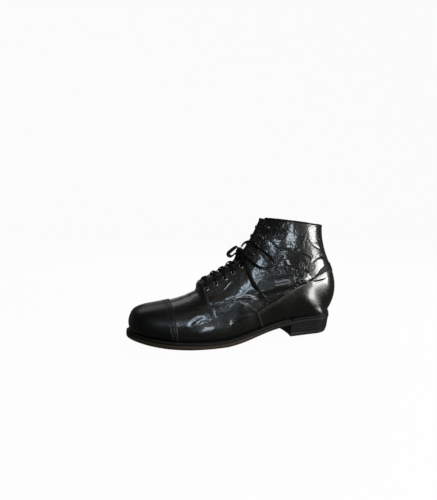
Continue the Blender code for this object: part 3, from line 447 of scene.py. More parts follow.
def ease_heel(points):
    """Skin points evened out from section to section where the feather turns up into the back seam."""
    number = np.linspace(0, COLLAR, points.shape[0])[1:-1, None, None]
    share = np.linspace(-1, 1, points.shape[1])[None, :, None]
    weight = smooth_step(1 - np.abs(number - HEEL_POINT) / EASE_REACH)
    weight = weight * smooth_step((1 - np.abs(share)) / EASE_EDGE)
    for _ in range(EASE_PASSES):
        even = (points[:-2] + 2 * points[1:-1] + points[2:]) / 4
        points[1:-1] += weight * (even - points[1:-1])
    return points


def padded_grid(grid):
    """Grid with one more row and column on each side: carried on straight, or round the back seam."""
    heel = HEEL_POINT * GRID_STEPS
    left = 2 * grid[:, :1] - grid[:, 1:2]
    right = 2 * grid[:, -1:] - grid[:, -2:-1]
    left[heel:] = grid[heel:, -2:-1]
    right[heel:] = grid[heel:, 1:2]
    wide = np.concatenate([left, grid, right], axis=1)
    return np.concatenate([2 * wide[:1] - wide[1:2], wide, 2 * wide[-1:] - wide[-2:-1]])


def build_skin():
    """Grids of points and outward normals of the boot's outermost surface, and the girths."""
    values = section_values(np.linspace(0, COLLAR, COLLAR * GRID_STEPS + 1))
    outer, girth_outer = half_sections(values, 0)
    inner, girth_inner = half_sections(values, 1)
    points = ease_heel(np.concatenate([outer[:, :0:-1], inner], axis=1))
    face = np.cross(points[1:, 1:] - points[:-1, :-1], points[:-1, 1:] - points[1:, :-1])
    normal = np.zeros_like(points)
    for rows in (slice(None, -1), slice(1, None)):
        for columns in (slice(None, -1), slice(1, None)):
            normal[rows, columns] += face
    normal[0] = normal[0].sum(axis=0)
    heel = HEEL_POINT * GRID_STEPS
    normal[heel:, [0, -1]] = (normal[heel:, 0] + normal[heel:, -1])[:, None]
    normal[:heel + 1, [0, -1], 2] = 0
    normal[0, :, 2] = 0
    normal *= np.sign(normal[GRID_STEPS * 8, GRID_HALF, 2])
    return padded_grid(points), padded_grid(unit(normal)), np.stack([girth_outer, girth_inner])


SKIN_POINTS, SKIN_NORMALS, SKIN_GIRTH = build_skin()


def cubic_weights(part):
    """Weights of four neighbours for a smooth cubic between the middle two, at a part of the way."""
    square, cube = part * part, part * part * part
    return np.stack([-0.5 * part + square - 0.5 * cube, 1 - 2.5 * square + 1.5 * cube,
                     0.5 * part + 2 * square - 1.5 * cube, -0.5 * square + 0.5 * cube], axis=-1)


def read_grid(grid, number, share):
    """Skin grid between its nodes: a smooth cubic along the sections and across them."""
    number, share = np.broadcast_arrays(np.asarray(number, float), np.asarray(share, float))
    row = np.clip(number * GRID_STEPS, 0, grid.shape[0] - 3 - TINY)
    place = np.clip((share + 1) * GRID_HALF, 0, grid.shape[1] - 3 - TINY)
    i, j = row.astype(int), place.astype(int)
    down, across = cubic_weights(row - i), cubic_weights(place - j)
    found = np.zeros(row.shape + (3,))
    for a in range(4):
        for b in range(4):
            found += (down[..., a] * across[..., b])[..., None] * grid[i + a, j + b]
    return found


def on_skin(number, share):
    """Points of the smooth skin at section numbers and shares."""
    return read_grid(SKIN_POINTS, number, share)


def skin_normals(number, share):
    """Outward directions of the skin at section numbers and shares."""
    return unit(read_grid(SKIN_NORMALS, number, share))


def gap_to(points, *lines):
    """Distance from points to the nearest of several lines given by section numbers and shares."""
    return np.min([line_distance(points, on_skin(*line))[0] for line in lines], axis=0)


def crease_lines():
    """Every crease as width, depth and a smooth line of points on the skin, on both sides of the boot."""
    lines = []
    for width, depth, line in CREASES:
        number, share = np.array(line).T
        marks = np.arange(len(number))
        fine = np.linspace(0, marks[-1], CREASE_POINTS)
        number, share = spline(marks, number, fine), spline(marks, share, fine)
        lines.append((width, depth, on_skin(number, share)))
        if share.max() < 0:
            shifted = np.minimum(number + INNER_SHIFT, COLLAR)
            lines.append((width, depth * INNER_DEPTH, on_skin(shifted, -share)))
    return lines


CREASE_LINES = crease_lines()


def lattice_noise(points, size):
    """Smooth noise of about -1 to 1: slopes drawn on a cubic lattice, blended between its corners."""
    place = points / size
    cell = np.floor(place).astype(int)
    part = place - cell
    blend = part ** 3 * (part * (6 * part - 15) + 10)
    total = np.zeros(len(points))
    for corner in np.ndindex(2, 2, 2):
        i, j, k = ((cell + corner) % LATTICE.shape[0]).T
        weight = np.where(corner, blend, 1 - blend).prod(axis=1)
        total += weight * (LATTICE[i, j, k] * (part - corner)).sum(axis=1)
    return LATTICE_GAIN * total


def wrinkled(points):
    """Height of the fine wrinkles: soft pads between sharp valleys, in several sizes.

    Each size adds its depth times the absolute noise, whose zeros are the valleys. The noise is read at
    places pushed about by a slower noise. The cap stays smooth, the counter nearly so; the rear is calmer.
    """
    along, height = points[:, 0], points[:, 2]
    cap, rear = fade_in(along, *CAP_FADE), fade_in(along, *REAR_FADE)
    counter = fade_in(along, *COUNTER_FADE) * fade_in(height, *COUNTER_TOP)
    push = np.stack([lattice_noise(points + shift, BEND_SIZE) for shift in BEND_SHIFTS], axis=1)
    bent = points + BEND_REACH * push
    total = np.zeros(len(points))
    for size, depth in WRINKLES:
        pad = np.minimum(np.abs(lattice_noise(bent + WRINKLE_SHIFT * size, size)), PAD_TOP)
        total += depth * (pad - PAD_MIDDLE)
    return cap * (1 - COUNTER_CALM * counter) * (1 - REAR_CALM * rear) * total


def relief(points):
    """Height of creases and wrinkles over the skin.

    At distance d from its line a crease of width w is -depth * (1 - 0.6 d d / w w) * exp(-d d / w w): a
    trough between soft shoulders. It fades towards both ends of the line.
    """
    flat = points.reshape(-1, 3)
    height = wrinkled(flat)
    for width, depth, line in CREASE_LINES:
        middle = line.mean(axis=0)
        reach = np.linalg.norm(line - middle, axis=1).max() + 3 * width
        near = np.flatnonzero(((flat - middle) ** 2).sum(axis=1) < reach ** 2)
        if near.size:
            gap, along = line_distance(flat[near], line)
            fade = np.sin(math.pi * along) ** 0.6
            height[near] -= depth * fade * (1 - 0.6 * (gap / width) ** 2) * bell(gap, width)
    return height.reshape(points.shape[:-1])


def girth(number, side):
    """Length of a half section from ridge to foot."""
    places = np.linspace(0, COLLAR, SKIN_GIRTH.shape[1])
    return np.interp(number, places, SKIN_GIRTH[0 if side < 0 else 1])


def tab_rise(number, share):
    """Height of the facings over the fan of sections, carried on level in front of the throat."""
    distance = np.abs(share) * np.where(share < 0, girth(number, -1), girth(number, 1))
    return np.interp(number, RISE.section, RISE.height) * smooth_step(1 - distance / RISE_REACH)


def facing_rise(number, share):
    """Height of wall and tongue over the fan of sections: that of the facings, with a ramp under the tab."""
    return tab_rise(number, share) * fade_in(number, RAMP[0], RAMP[1] - RAMP[0])


def leather(number, share, lift=0.0, creased=True):
    """Points at a height over the outermost surface, creases included; a negative lift goes inwards."""
    number, share = np.broadcast_arrays(np.asarray(number, float), np.asarray(share, float))
    points = on_skin(number, share)
    height = np.asarray(lift) + facing_rise(number, share) + (relief(points) if creased else 0.0)
    return points + np.broadcast_to(height, number.shape)[..., None] * skin_normals(number, share)


def smooth_leather(number, share, lift=0.0):
    """Points at a height over the outermost surface without its creases."""
    return leather(number, share, lift, False)


def slot_half(number):
    """Half width of the slot at section numbers."""
    return np.interp(number, SLOT.section, SLOT.half)


def from_slot(number, side, share):
    """Share v at a share of the way from the slot's edge to the foot, on one side."""
    edge = slot_half(number) / girth(number, side)
    return side * (edge + share * (1 - edge))


def from_ridge(number, distance):
    """Share v at a signed distance from the ridge."""
    number, distance = np.broadcast_arrays(np.asarray(number, float), np.asarray(distance, float))
    return np.where(distance < 0, distance / girth(number, -1), distance / girth(number, 1))


def side_edge(number):
    """Share of the way from slot to foot where the quarter ends, as far back as the heel point."""
    vamp, foxing = (spline(seam.section, seam.share, number) for seam in (VAMP_SEAM, FOXING_SIDE))
    return np.where(number < FOXING_FRONT, vamp, foxing)


def back_edge(share, seam=FOXING_BACK):
    """Section number of a seam behind the heel point at a share of the way from slot to foot."""
    return np.interp(share, seam.share, seam.section)


# Meshes

CLOSE_STEPS = np.array([0.0, 0.08, 0.2, 0.36, 0.56, 0.8, 1.1, 1.6, 2.3])
EDGE_RADIUS = 0.8
MERGE = 2e-6
SHARP = math.radians(50)


def finer_at_ends(count, length, ends=(True, True)):
    """Shares from 0 to 1 over a length, with close steps at the ends where an edge is rolled."""
    close = CLOSE_STEPS / length
    head = close if ends[0] else np.array([0.0])
    tail = 1 - close[::-1] if ends[1] else np.array([1.0])
    return np.concatenate([head, np.linspace(head[-1], tail[0], count)[1:-1], tail])


def rolled_edge(gap, thick, radius=EDGE_RADIUS):
    """Lift of a panel near its cut edge: it falls by its thickness along a quarter circle."""
    inside = np.clip(gap / radius, 0, 1)
    return -thick * (1 - np.sqrt(np.maximum(1 - (1 - inside) ** 2, 0)))


def all_cells(grid):
    """Mask that keeps every cell of a grid."""
    return np.ones((grid.shape[0] - 1, grid.shape[1] - 1), bool)


def grid_faces(rows, columns, keep=None):
    """Quads of a grid as an array of four point numbers each, some of them left out."""
    index = np.arange(rows * columns).reshape(rows, columns)
    quads = np.stack([index[:-1, :-1], index[1:, :-1], index[1:, 1:], index[:-1, 1:]], axis=-1)
    return quads.reshape(-1, 4) if keep is None else quads[keep]


def rim_faces(quads, count):
    """Quads that join the free edges of a sheet to those of its copy, count points further on."""
    starts, ends = quads.ravel(), np.roll(quads, -1, axis=1).ravel()
    free = ~np.isin(starts * count + ends, ends * count + starts)
    a, b = starts[free], ends[free]
    return np.stack([b, a, a + count, b + count], axis=1)


def joined(grids):
    """Points and quads of several grids of any size put together."""
    points, faces, count = [], [], 0
    for grid in grids:
        points.append(grid.reshape(-1, 3))
        faces.append(grid_faces(*grid.shape[:2]) + count)
        count += grid.shape[0] * grid.shape[1]
    return np.concatenate(points), np.concatenate(faces)


def to_row(points):
    """Points in metres in the row's frame."""
    return (np.asarray(points, float) - ORIGIN) * MM


def add_piece(name, points, quads, look, stands_for=(), closed=False, uv=None, marks=None,
              outward=None):
    """One mesh piece in metres that rides on the boot.

    Points that coincide are merged, which closes seams and poles. The faces of a closed piece are turned
    outwards; those of an open one are turned to agree with the outward directions given for its points.
    """
    points, quads = points.reshape(-1, 3), np.asarray(quads)
    mesh = bpy.data.meshes.new(name)
    mesh.from_pydata(to_row(points).tolist(), [], quads.tolist())
    if uv is not None:
        layer = mesh.uv_layers.new(name="UVMap")
        layer.data.foreach_set("uv", uv.reshape(-1, 2)[quads.ravel()].astype(np.float32).ravel())
    if marks is not None:
        attribute = mesh.attributes.new("cut", "FLOAT", "POINT")
        attribute.data.foreach_set("value", marks.astype(np.float32).ravel())
    work = bmesh.new()
    work.from_mesh(mesh)
    bmesh.ops.remove_doubles(work, verts=work.verts[:], dist=MERGE)
    bmesh.ops.delete(work, geom=[v for v in work.verts if not v.link_faces], context="VERTS")
    if closed:
        bmesh.ops.recalc_face_normals(work, faces=work.faces[:])
    work.to_mesh(mesh)
    work.free()
    if outward is not None:
        corner = points[quads]
        face = np.cross(corner[:, 2] - corner[:, 0], corner[:, 3] - corner[:, 1])
        if (face * outward.reshape(-1, 3)[quads[:, 0]]).sum() < 0:
            mesh.flip_normals()
    mesh.shade_smooth()
    mesh.set_sharp_from_angle(angle=SHARP)
    mesh.materials.append(look)
    piece = bpy.data.objects.new(name, mesh)
    bpy.context.scene.collection.objects.link(piece)
    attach(piece, "root")
    if stands_for:
        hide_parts(*stands_for)
    return piece


def add_grids(name, grids, look, stands_for, uv=None):
    """One closed piece of several grids."""
    points, faces = joined(grids)
    return add_piece(name, points, faces, look, stands_for, closed=True, uv=uv)


# Materials

VECTOR, FLOAT, COLOUR = "NodeSocketVector", "NodeSocketFloat", "NodeSocketColor"


def set_inputs(target, inputs):
    """Gives a node's sockets plain values, or links other sockets to them."""
    for key, value in inputs.items():
        socket = target.inputs[key]
        if isinstance(value, bpy.types.NodeSocket):
            target.id_data.links.new(value, socket)
        else:
            socket.default_value = (*value, 1.0) if socket.type == "RGBA" else value


def node(tree, kind, inputs=None, **settings):
    """New shader node with its settings and inputs; an input is a value or another node's socket."""
    made = tree.nodes.new(kind)
    for key, value in settings.items():
        setattr(made, key, value)
    set_inputs(made, inputs or {})
    return made


def maths(tree, operation, a, b=0.0, c=0.0):
    """Result of one arithmetic step on sockets or numbers."""
    return node(tree, "ShaderNodeMath", {0: a, 1: b, 2: c}, operation=operation).outputs[0]


def times(tree, a, b):
    """Product of two sockets or numbers."""
    return maths(tree, "MULTIPLY", a, b)


def mixed(tree, factor, a, b):
    """Colour between two colours."""
    return node(tree, "ShaderNodeMix", {0: factor, 6: a, 7: b}, data_type="RGBA").outputs[2]


def ramped(tree, value, low, high, to_low=0.0, to_high=1.0):
    """Value carried smoothly from one range to another and held at its ends."""
    ranges = {"Value": value, "From Min": low, "From Max": high, "To Min": to_low, "To Max": to_high}
    return node(tree, "ShaderNodeMapRange", ranges, interpolation_type="SMOOTHSTEP").outputs["Result"]


def noise(tree, place, scale, detail=2.0, rough=0.5):
    """Noise value at a place."""
    inputs = {"Vector": place, "Scale": scale, "Detail": detail, "Roughness": rough}
    return node(tree, "ShaderNodeTexNoise", inputs).outputs[0]


def stretched(tree, place, scale, turn=(0.0, 0.0, 0.0)):
    """Place turned and stretched, so that a pattern there runs in one direction."""
    return node(tree, "ShaderNodeMapping", {"Vector": place, "Rotation": turn, "Scale": scale}).outputs[0]


def group(name, inputs, outputs):
    """Empty node group with named sockets: its tree, the sockets that it is given and its output node."""
    tree = bpy.data.node_groups.new(name, "ShaderNodeTree")
    for way, sockets in (("INPUT", inputs), ("OUTPUT", outputs)):
        for title, kind in sockets.items():
            tree.interface.new_socket(name=title, in_out=way, socket_type=kind)
    return tree, tree.nodes.new("NodeGroupInput").outputs, tree.nodes.new("NodeGroupOutput")


def make_hide_grain():
    """Height of a hide: round pores, fine creases between them and, with Crackle, long dry cracks."""
    tree, given, result = group("hide_grain", {"Place": VECTOR, "Pores": FLOAT, "Crackle": FLOAT},
                                {"Height": FLOAT, "Cracks": FLOAT})
    place, pores = given["Place"], given["Pores"]
    cells = node(tree, "ShaderNodeTexVoronoi", {"Vector": place, "Scale": pores, "Smoothness": 0.6},
                 feature="SMOOTH_F1")
    fine = noise(tree, place, times(tree, pores, 0.4), 4.0, 0.6)
    push = node(tree, "ShaderNodeTexNoise", {"Vector": place, "Scale": 60.0}).outputs["Color"]
    push = node(tree, "ShaderNodeVectorMath", {0: push, "Scale": 0.012}, operation="SCALE").outputs[0]
    bent = node(tree, "ShaderNodeVectorMath", {0: place, 1: push}, operation="ADD").outputs[0]
    web = node(tree, "ShaderNodeTexVoronoi", {"Vector": bent, "Scale": 170.0}, feature="DISTANCE_TO_EDGE")
    lines = ramped(tree, web.outputs["Distance"], 0.0, 0.09, 1.0, 0.0)
    patches = ramped(tree, noise(tree, place, 22.0, 3.0), 0.42, 0.62)
    cracks = times(tree, times(tree, lines, patches), given["Crackle"])
    height = maths(tree, "MULTIPLY_ADD", cells.outputs["Distance"], 0.35, times(tree, fine, 0.65))
    set_inputs(result, {"Height": maths(tree, "SUBTRACT", height, cracks), "Cracks": cracks})
    return tree


def make_rubbed_polish():
    """Colour and roughness of a polished surface: cloudy dull patches and fine straight scuffs."""
    tree, given, result = group("rubbed_polish", {"Place": VECTOR, "Polish": COLOUR, "Bare": COLOUR,
                                                  "Scuffs": FLOAT, "Gloss": FLOAT, "Dull": FLOAT},
                                {"Color": COLOUR, "Roughness": FLOAT})
    place, gloss = given["Place"], given["Gloss"]
    clouds = ramped(tree, noise(tree, place, 28.0, 5.0, 0.6), 0.35, 0.68)
    streaks = stretched(tree, place, (40.0, 700.0, 220.0), (0.5, 0.3, 0.6))
    scuff = ramped(tree, noise(tree, streaks, 1.0), 0.66, 0.8)
    scuff = times(tree, times(tree, scuff, clouds), given["Scuffs"])
    rough = maths(tree, "MULTIPLY_ADD", maths(tree, "SUBTRACT", given["Dull"], gloss), clouds, gloss)
    set_inputs(result, {"Color": mixed(tree, scuff, given["Polish"], given["Bare"]),
                        "Roughness": maths(tree, "ADD", rough, times(tree, scuff, 0.25))})
    return tree


def make_woven_lace():
    """Colour and height of a flat braid on its UV: slanted threads that cross from both edges, darker in the
    weave's low places as painted shade.
    """
    tree, given, result = group("woven_lace", {"Thread": COLOUR, "Gap": COLOUR},
                                {"Color": COLOUR, "Height": FLOAT})
    place = node(tree, "ShaderNodeUVMap", uv_map="UVMap").outputs[0]
    along, across = node(tree, "ShaderNodeSeparateXYZ", {0: place}).outputs[:2]
    fold = maths(tree, "ABSOLUTE", maths(tree, "SUBTRACT", across, 0.5))
    slant = maths(tree, "ADD", along, times(tree, fold, 3.0))
    threads = maths(tree, "SINE", times(tree, slant, 2 * math.pi / 1.1))
    picks = maths(tree, "SINE", times(tree, across, 2 * math.pi * 9))
    height = maths(tree, "MULTIPLY_ADD", picks, 0.3, threads)
    # Painted shade: the colour darkens where the weave's height is low
    shade = ramped(tree, height, -1.0, 0.6)
    set_inputs(result, {"Color": mixed(tree, shade, given["Gap"], given["Thread"]), "Height": height})
    return tree


HIDE_GRAIN = make_hide_grain()
RUBBED_POLISH = make_rubbed_polish()
WOVEN_LACE = make_woven_lace()

RUBBED_BLACK = (0.024, 0.022, 0.019)
DRY_BLACK = (0.018, 0.017, 0.015)
RAW_HIDE = (0.68, 0.62, 0.52)
WORN_EDGE = (0.12, 0.09, 0.065)
BARE_METAL = (0.36, 0.33, 0.28)
FADE_LENGTH = 0.06


def new_look(name):
    """New material and its tree, its shader and its Object coordinates."""
    made = bpy.data.materials.new(name)
    made.use_nodes = True
    tree = made.node_tree
    place = tree.nodes.new("ShaderNodeTexCoord").outputs["Object"]
    return made, tree, tree.nodes["Principled BSDF"], place


def placed(tree, made_group, **inputs):
    """Outputs of a node group placed in a material with its own values."""
    return node(tree, "ShaderNodeGroup", inputs, node_tree=made_group).outputs


def bumped(tree, height, distance):
    """Normal from a height, the height in metres being the distance."""
    inputs = {"Height": height, "Distance": distance, "Strength": 1.0}
    return node(tree, "ShaderNodeBump", inputs).outputs["Normal"]


def black_leather(name, black, pores, crackle, gloss, dull, scuffs, bump=0.00012, coat=(0.6, 0.10),
                  shine=0.5):
    """Polished black leather: pores and cracks in its relief, cloudy gloss, raw hide on its cut edges."""
    made, tree, shader, place = new_look(name)
    grain = placed(tree, HIDE_GRAIN, Place=place, Pores=pores, Crackle=crackle)
    polish = placed(tree, RUBBED_POLISH, Place=place, Polish=black, Bare=RUBBED_BLACK, Scuffs=scuffs,
                    Gloss=gloss, Dull=dull)
    cut = node(tree, "ShaderNodeAttribute", attribute_name="cut").outputs["Fac"]
    dry = mixed(tree, times(tree, grain["Cracks"], 0.6), polish["Color"], DRY_BLACK)
    set_inputs(shader, {
        "Base Color": mixed(tree, cut, dry, RAW_HIDE),
        "Roughness": maths(tree, "MULTIPLY_ADD", cut, 0.3, polish["Roughness"]),
        "Normal": bumped(tree, grain["Height"], bump),
        "Specular IOR Level": shine, "Coat Weight": coat[0], "Coat Roughness": coat[1]})
    return made


def brown_leather(name, light, dark, rough):
    """Bare brown leather: fibrous colour, rubbed patches, pores."""
    made, tree, shader, place = new_look(name)
    grain = placed(tree, HIDE_GRAIN, Place=place, Pores=700.0, Crackle=0.2)
    polish = placed(tree, RUBBED_POLISH, Place=place, Polish=light, Bare=dark, Scuffs=0.9,
                    Gloss=rough - 0.12, Dull=rough + 0.1)
    stain = ramped(tree, noise(tree, place, 14.0, 4.0), 0.35, 0.7)
    set_inputs(shader, {"Base Color": mixed(tree, stain, polish["Color"], dark),
                        "Roughness": polish["Roughness"], "Normal": bumped(tree, grain["Height"], 0.0002)})
    return made


def edge_leather(name, black, brown, worn, worn_to=None):
    """Dressed edge of sole leather: black rubbed through to brown, no further back than a given place."""
    made, tree, shader, place = new_look(name)
    fibres = noise(tree, stretched(tree, place, (30.0, 30.0, 1400.0)), 1.0, 4.0, 0.65)
    polish = placed(tree, RUBBED_POLISH, Place=place, Polish=brown, Bare=WORN_EDGE, Scuffs=0.6, Gloss=0.42,
                    Dull=0.6)
    patches = maths(tree, "ADD", noise(tree, place, 30.0, 5.0, 0.6), times(tree, fibres, 0.35))
    through = ramped(tree, patches, 0.95 - worn, 1.05 - 0.6 * worn)
    if worn_to is not None:
        along = node(tree, "ShaderNodeSeparateXYZ", {0: place}).outputs[0]
        through = times(tree, through, ramped(tree, along, worn_to - FADE_LENGTH, worn_to, 1.0, 0.12))
    set_inputs(shader, {"Base Color": mixed(tree, through, black, polish["Color"]),
                        "Roughness": polish["Roughness"], "Normal": bumped(tree, fibres, 0.00018),
                        "Specular IOR Level": 0.25})
    return made


def black_metal(name, enamel):
    """Japanned metal: black enamel, thin where it is rubbed."""
    made, tree, shader, place = new_look(name)
    polish = placed(tree, RUBBED_POLISH, Place=place, Polish=enamel, Bare=BARE_METAL, Scuffs=0.6, Gloss=0.16,
                    Dull=0.30)
    set_inputs(shader, {"Base Color": polish["Color"], "Roughness": polish["Roughness"], "Metallic": 0.7,
                        "Coat Weight": 0.8, "Coat Roughness": 0.1})
    return made


def lace_cloth(name):
    """Flat woven lace, matte black."""
    made, tree, shader, place = new_look(name)
    weave = placed(tree, WOVEN_LACE, Thread=(0.0042, 0.0042, 0.0042), Gap=(0.0014, 0.0014, 0.0014))
    set_inputs(shader, {
        "Base Color": weave["Color"],
        "Roughness": ramped(tree, noise(tree, place, 300.0), 0.3, 0.7, 0.7, 0.9),
        "Normal": bumped(tree, weave["Height"], 0.00012), "Specular IOR Level": 0.2,
        "Sheen Weight": 0.02, "Sheen Roughness": 0.5})
    return made


def plain_finish(name, colour, other, rough, scale, bump=0.0, coat=0.0):
    """Finish whose colour drifts between two shades over a fine mottle."""
    made, tree, shader, place = new_look(name)
    mottle = noise(tree, place, scale, 4.0, 0.6)
    set_inputs(shader, {"Base Color": mixed(tree, ramped(tree, mottle, 0.35, 0.7), colour, other),
                        "Roughness": ramped(tree, mottle, 0.3, 0.7, rough - 0.08, rough + 0.08),
                        "Coat Weight": coat})
    if bump:
        set_inputs(shader, {"Normal": bumped(tree, mottle, bump)})
    return made


CAP_LEATHER = black_leather("cap_leather", (0.0034, 0.0033, 0.0027), 900.0, 0.05, 0.30, 0.42, 0.4,
                            coat=(0.15, 0.26), shine=0.35)
VAMP_LEATHER = black_leather("vamp_leather", (0.0060, 0.0058, 0.0045), 850.0, 0.35, 0.20, 0.36, 0.5)
QUARTER_LEATHER = black_leather("quarter_leather", (0.0075, 0.0072, 0.0055), 800.0, 0.9, 0.18, 0.36, 0.6,
                                bump=0.0002)
COUNTER_LEATHER = black_leather("counter_leather", (0.0050, 0.0048, 0.0038), 850.0, 0.12, 0.21, 0.32, 0.5)
BINDING_LEATHER = black_leather("binding_leather", (0.0035, 0.0033, 0.0028), 800.0, 0.2, 0.5, 0.65, 0.3,
                                coat=(0.0, 0.3), shine=0.2)
LINING_LEATHER = brown_leather("lining_leather", (0.13, 0.095, 0.065), (0.07, 0.05, 0.035), 0.7)
INSOLE_LEATHER = brown_leather("insole_leather", (0.10, 0.07, 0.047), (0.045, 0.03, 0.02), 0.62)
WELT_EDGE = edge_leather("welt_edge", (0.006, 0.006, 0.006), (0.016, 0.013, 0.010), 0.25)
SOLE_EDGE = edge_leather("sole_edge", (0.009, 0.008, 0.0065), (0.052, 0.036, 0.022), 0.76, 0.04)
HEEL_EDGE = edge_leather("heel_edge", (0.0065, 0.0065, 0.006), (0.010, 0.0095, 0.0085), 0.2)
LIFT_RUBBER = plain_finish("lift_rubber", (0.012, 0.012, 0.012), (0.022, 0.021, 0.02), 0.62, 260.0, 0.0002)
METAL = black_metal("japanned_metal", (0.06, 0.058, 0.053))
# Eyelet metal: its lighter enamel is a painted sheen, standing in for light on the rings; its bare scuffs are
# real wear
WORN_METAL_PAINTED_SHEEN = black_metal("worn_metal_painted_sheen", (0.24, 0.23, 0.205))
LACE_CLOTH = lace_cloth("lace_cloth")
TIP_GLOSS = plain_finish("tip_gloss", (0.006, 0.006, 0.006), (0.012, 0.012, 0.012), 0.16, 200.0, coat=0.4)
# Seam thread: its grey is a painted glint, standing in for light caught on the stitches; the thread itself is
# dark
SEAM_THREAD_PAINTED_GLINT = plain_finish("thread_painted_glint", (0.09, 0.086, 0.075), (0.19, 0.18, 0.155), 0.4, 900.0)
DARK_THREAD = plain_finish("dark_thread", (0.014, 0.013, 0.011), (0.045, 0.042, 0.036), 0.4, 900.0)
WELT_THREAD = plain_finish("welt_thread", (0.03, 0.026, 0.02), (0.09, 0.075, 0.055), 0.6, 900.0)


# Upper

# Wall and lining: rows and columns per side, the length of a side, and how far the wall's foot goes in
WALL_GRID = (230, 90)
LINING_GRID = (150, 60)
HALF_GIRTH = 90.0
FOOT_TUCK = 0.6

# Punched holes, rows of stitches by their distance from a panel's edge, and the furrows they draw
HOLE_PITCH = 3.3
HOLE_RADIUS = 0.62
HOLE_DIP = 0.9
CAP_BAND = 12.0
CAP_HOLES = 5.6
CAP_STITCHES = [1.5, 3.0, 8.0, 9.5]
SEAM_STITCHES = [1.7, 3.5]
SLOT_STITCH = 2.0
STITCH_FURROW = 0.5
CAP_FURROW = 0.16
QUARTER_FURROW = 0.12
COUNTER_FURROW = 0.14

# Cut edges: a pale line, and on the foxing raw hide that shows by a share at each section
PALE_EDGE = 0.05
PALE_WIDTH = 0.35
RAW_EDGE = table("section share", (11.3, 0.04), (13.0, 0.3), (14.0, 1.0),
                 (17.5, 1.0), (18.6, 0.3), (19.2, 0.05))
RAW_MOST = 0.95
RAW_WIDTH = 0.62
COUNTER_ROLL = 0.9

# Quarter behind: tucked under the foxing, with a dip that fades beyond its edge, and the back seam
QUARTER_TUCK = 1.6
BACK_TUCK = 0.07
COUNTER_DIP = 0.95
LAP_FLAT = 0.3
LAP_FADE = 2.2
LAP_EASE = 3
BACK_SEAM = 18.5
BACK_SEAM_DIP = 0.5

# Back strip, binding and tongue
STRIP_LIFT = 0.8
STRIP_THICK = 0.75
STRIP_ROLL = 0.5
STRIP_SINK = 0.3
STRIP_LEAST = 0.02
STRIP_PALE = 0.04
STRIP_PALE_WIDTH = 0.3
BINDING_HALF = 2.4
BINDING_IN = 1.95
BINDING_RISE = 1.5
BINDING_LAP = 1.2
BINDING_DOWN = 1.6
BINDING_ROUND = 0.7
TONGUE_ENDS = (THROAT - 0.8, COLLAR - 0.25)
TONGUE_HALVES = (17.0, 24.0)
TONGUE_WAVE = 0.35
TONGUE_CURL = 0.25

# Steps over which directions on the leather are taken: in sections, and as a share of a distance
SECTION_STEP = 0.05
NEARER = 0.95


def place_on(number, distance):
    """Point on the leather at a signed distance from the ridge, and its directions: to the slot, up, out."""
    share = from_ridge(number, distance)
    inward = smooth_leather(number, from_ridge(number, distance * NEARER)) - smooth_leather(number, share)
    up = unit(smooth_leather(number + SECTION_STEP, share) - smooth_leather(number - SECTION_STEP, share))
    out = unit(np.cross(inward, up))
    out = out * np.sign((out * skin_normals(number, share)).sum())
    to_slot = np.cross(up, out)
    to_slot = to_slot * np.sign((to_slot * inward).sum())
    return leather(number, share), to_slot, up, out


EYELETS = {side: [place_on(number, side * ROW_FROM_RIDGE) for number in EYELET_SECTIONS] for side in SIDES}


def clear_of_holes(points, keep):
    """Grid cells to keep: those whose middle isn't within an eyelet's hole."""
    middle = (points[:-1, :-1] + points[1:, :-1] + points[1:, 1:] + points[:-1, 1:]) / 4
    for centre, _, _, out in EYELETS[-1] + EYELETS[1]:
        away = middle - centre
        rise = (away * out).sum(axis=2)
        flat = np.linalg.norm(away - rise[..., None] * out, axis=2)
        keep = keep & ~((flat < HOLE_CUT) & (np.abs(rise) < HOLE_DEPTH))
    return keep


def add_panel(name, number, share, lift, keep, look, stands_for=(), marks=None):
    """Panel of leather over the skin, with the eyelets' holes cut out; marks show where its edge is bare."""
    points = leather(number, share, lift)
    faces = grid_faces(*number.shape, clear_of_holes(points, keep))
    add_piece(name, points, faces, look, stands_for, marks=marks,
              outward=skin_normals(number, share))


def furrows(gap, offsets, depth):
    """Depth of the furrows that rows of stitches draw into a panel, at a distance from its edge."""
    return sum(depth * bell(gap - offset, STITCH_FURROW) for offset in offsets)


def wall_grid(row_count, half_count):
    """Section numbers, shares and kept cells of the whole wall, open at the throat's slot."""
    front = np.linspace(0, THROAT, row_count // 3, endpoint=False)
    number = np.append(front, np.linspace(THROAT, COLLAR, row_count - len(front)))[:, None]
    shares = finer_at_ends(half_count, HALF_GIRTH, (True, False))
    outer, inner = from_slot(number, -1, shares[::-1]), from_slot(number, 1, shares)
    share = np.concatenate([outer, 0 * number, inner], axis=1)
    keep = all_cells(share)
    slot = len(shares) - 1
    keep[len(front):, slot:slot + 2] = False
    return np.broadcast_to(number, share.shape), share, keep


def make_wall():
    """Vamp with the wall behind the panels, and the lining inside it.

    The wall lies one panel under the outermost surface. Its free edges at slot and collar go down to the
    lining, which faces inwards.
    """
    number, share, keep = wall_grid(*WALL_GRID)
    foot = fade_in(np.abs(share), 0.97, 0.03) * FOOT_TUCK * (number < HEEL_POINT)
    high, low = leather(number, share, -PANEL - foot), leather(number, share, -LINING)
    quads = grid_faces(*number.shape, clear_of_holes(high, keep))
    faces = np.concatenate([quads, rim_faces(quads, number.size)])
    add_piece("vamp_wall", np.concatenate([high, low]), faces, VAMP_LEATHER, ["upper"],
              outward=np.concatenate([skin_normals(number, share)] * 2))
    number, share, keep = wall_grid(*LINING_GRID)
    inside = leather(number, share, -LINING)
    quads = grid_faces(*number.shape, clear_of_holes(inside, keep))[:, ::-1]
    add_piece("lining", inside, quads, LINING_LEATHER, outward=-skin_normals(number, share))


def cap_edge(share):
    """Section number of the toe cap's rear edge at a share."""
    return CAP_RIDGE + (CAP_FOOT - CAP_RIDGE) * share ** 2


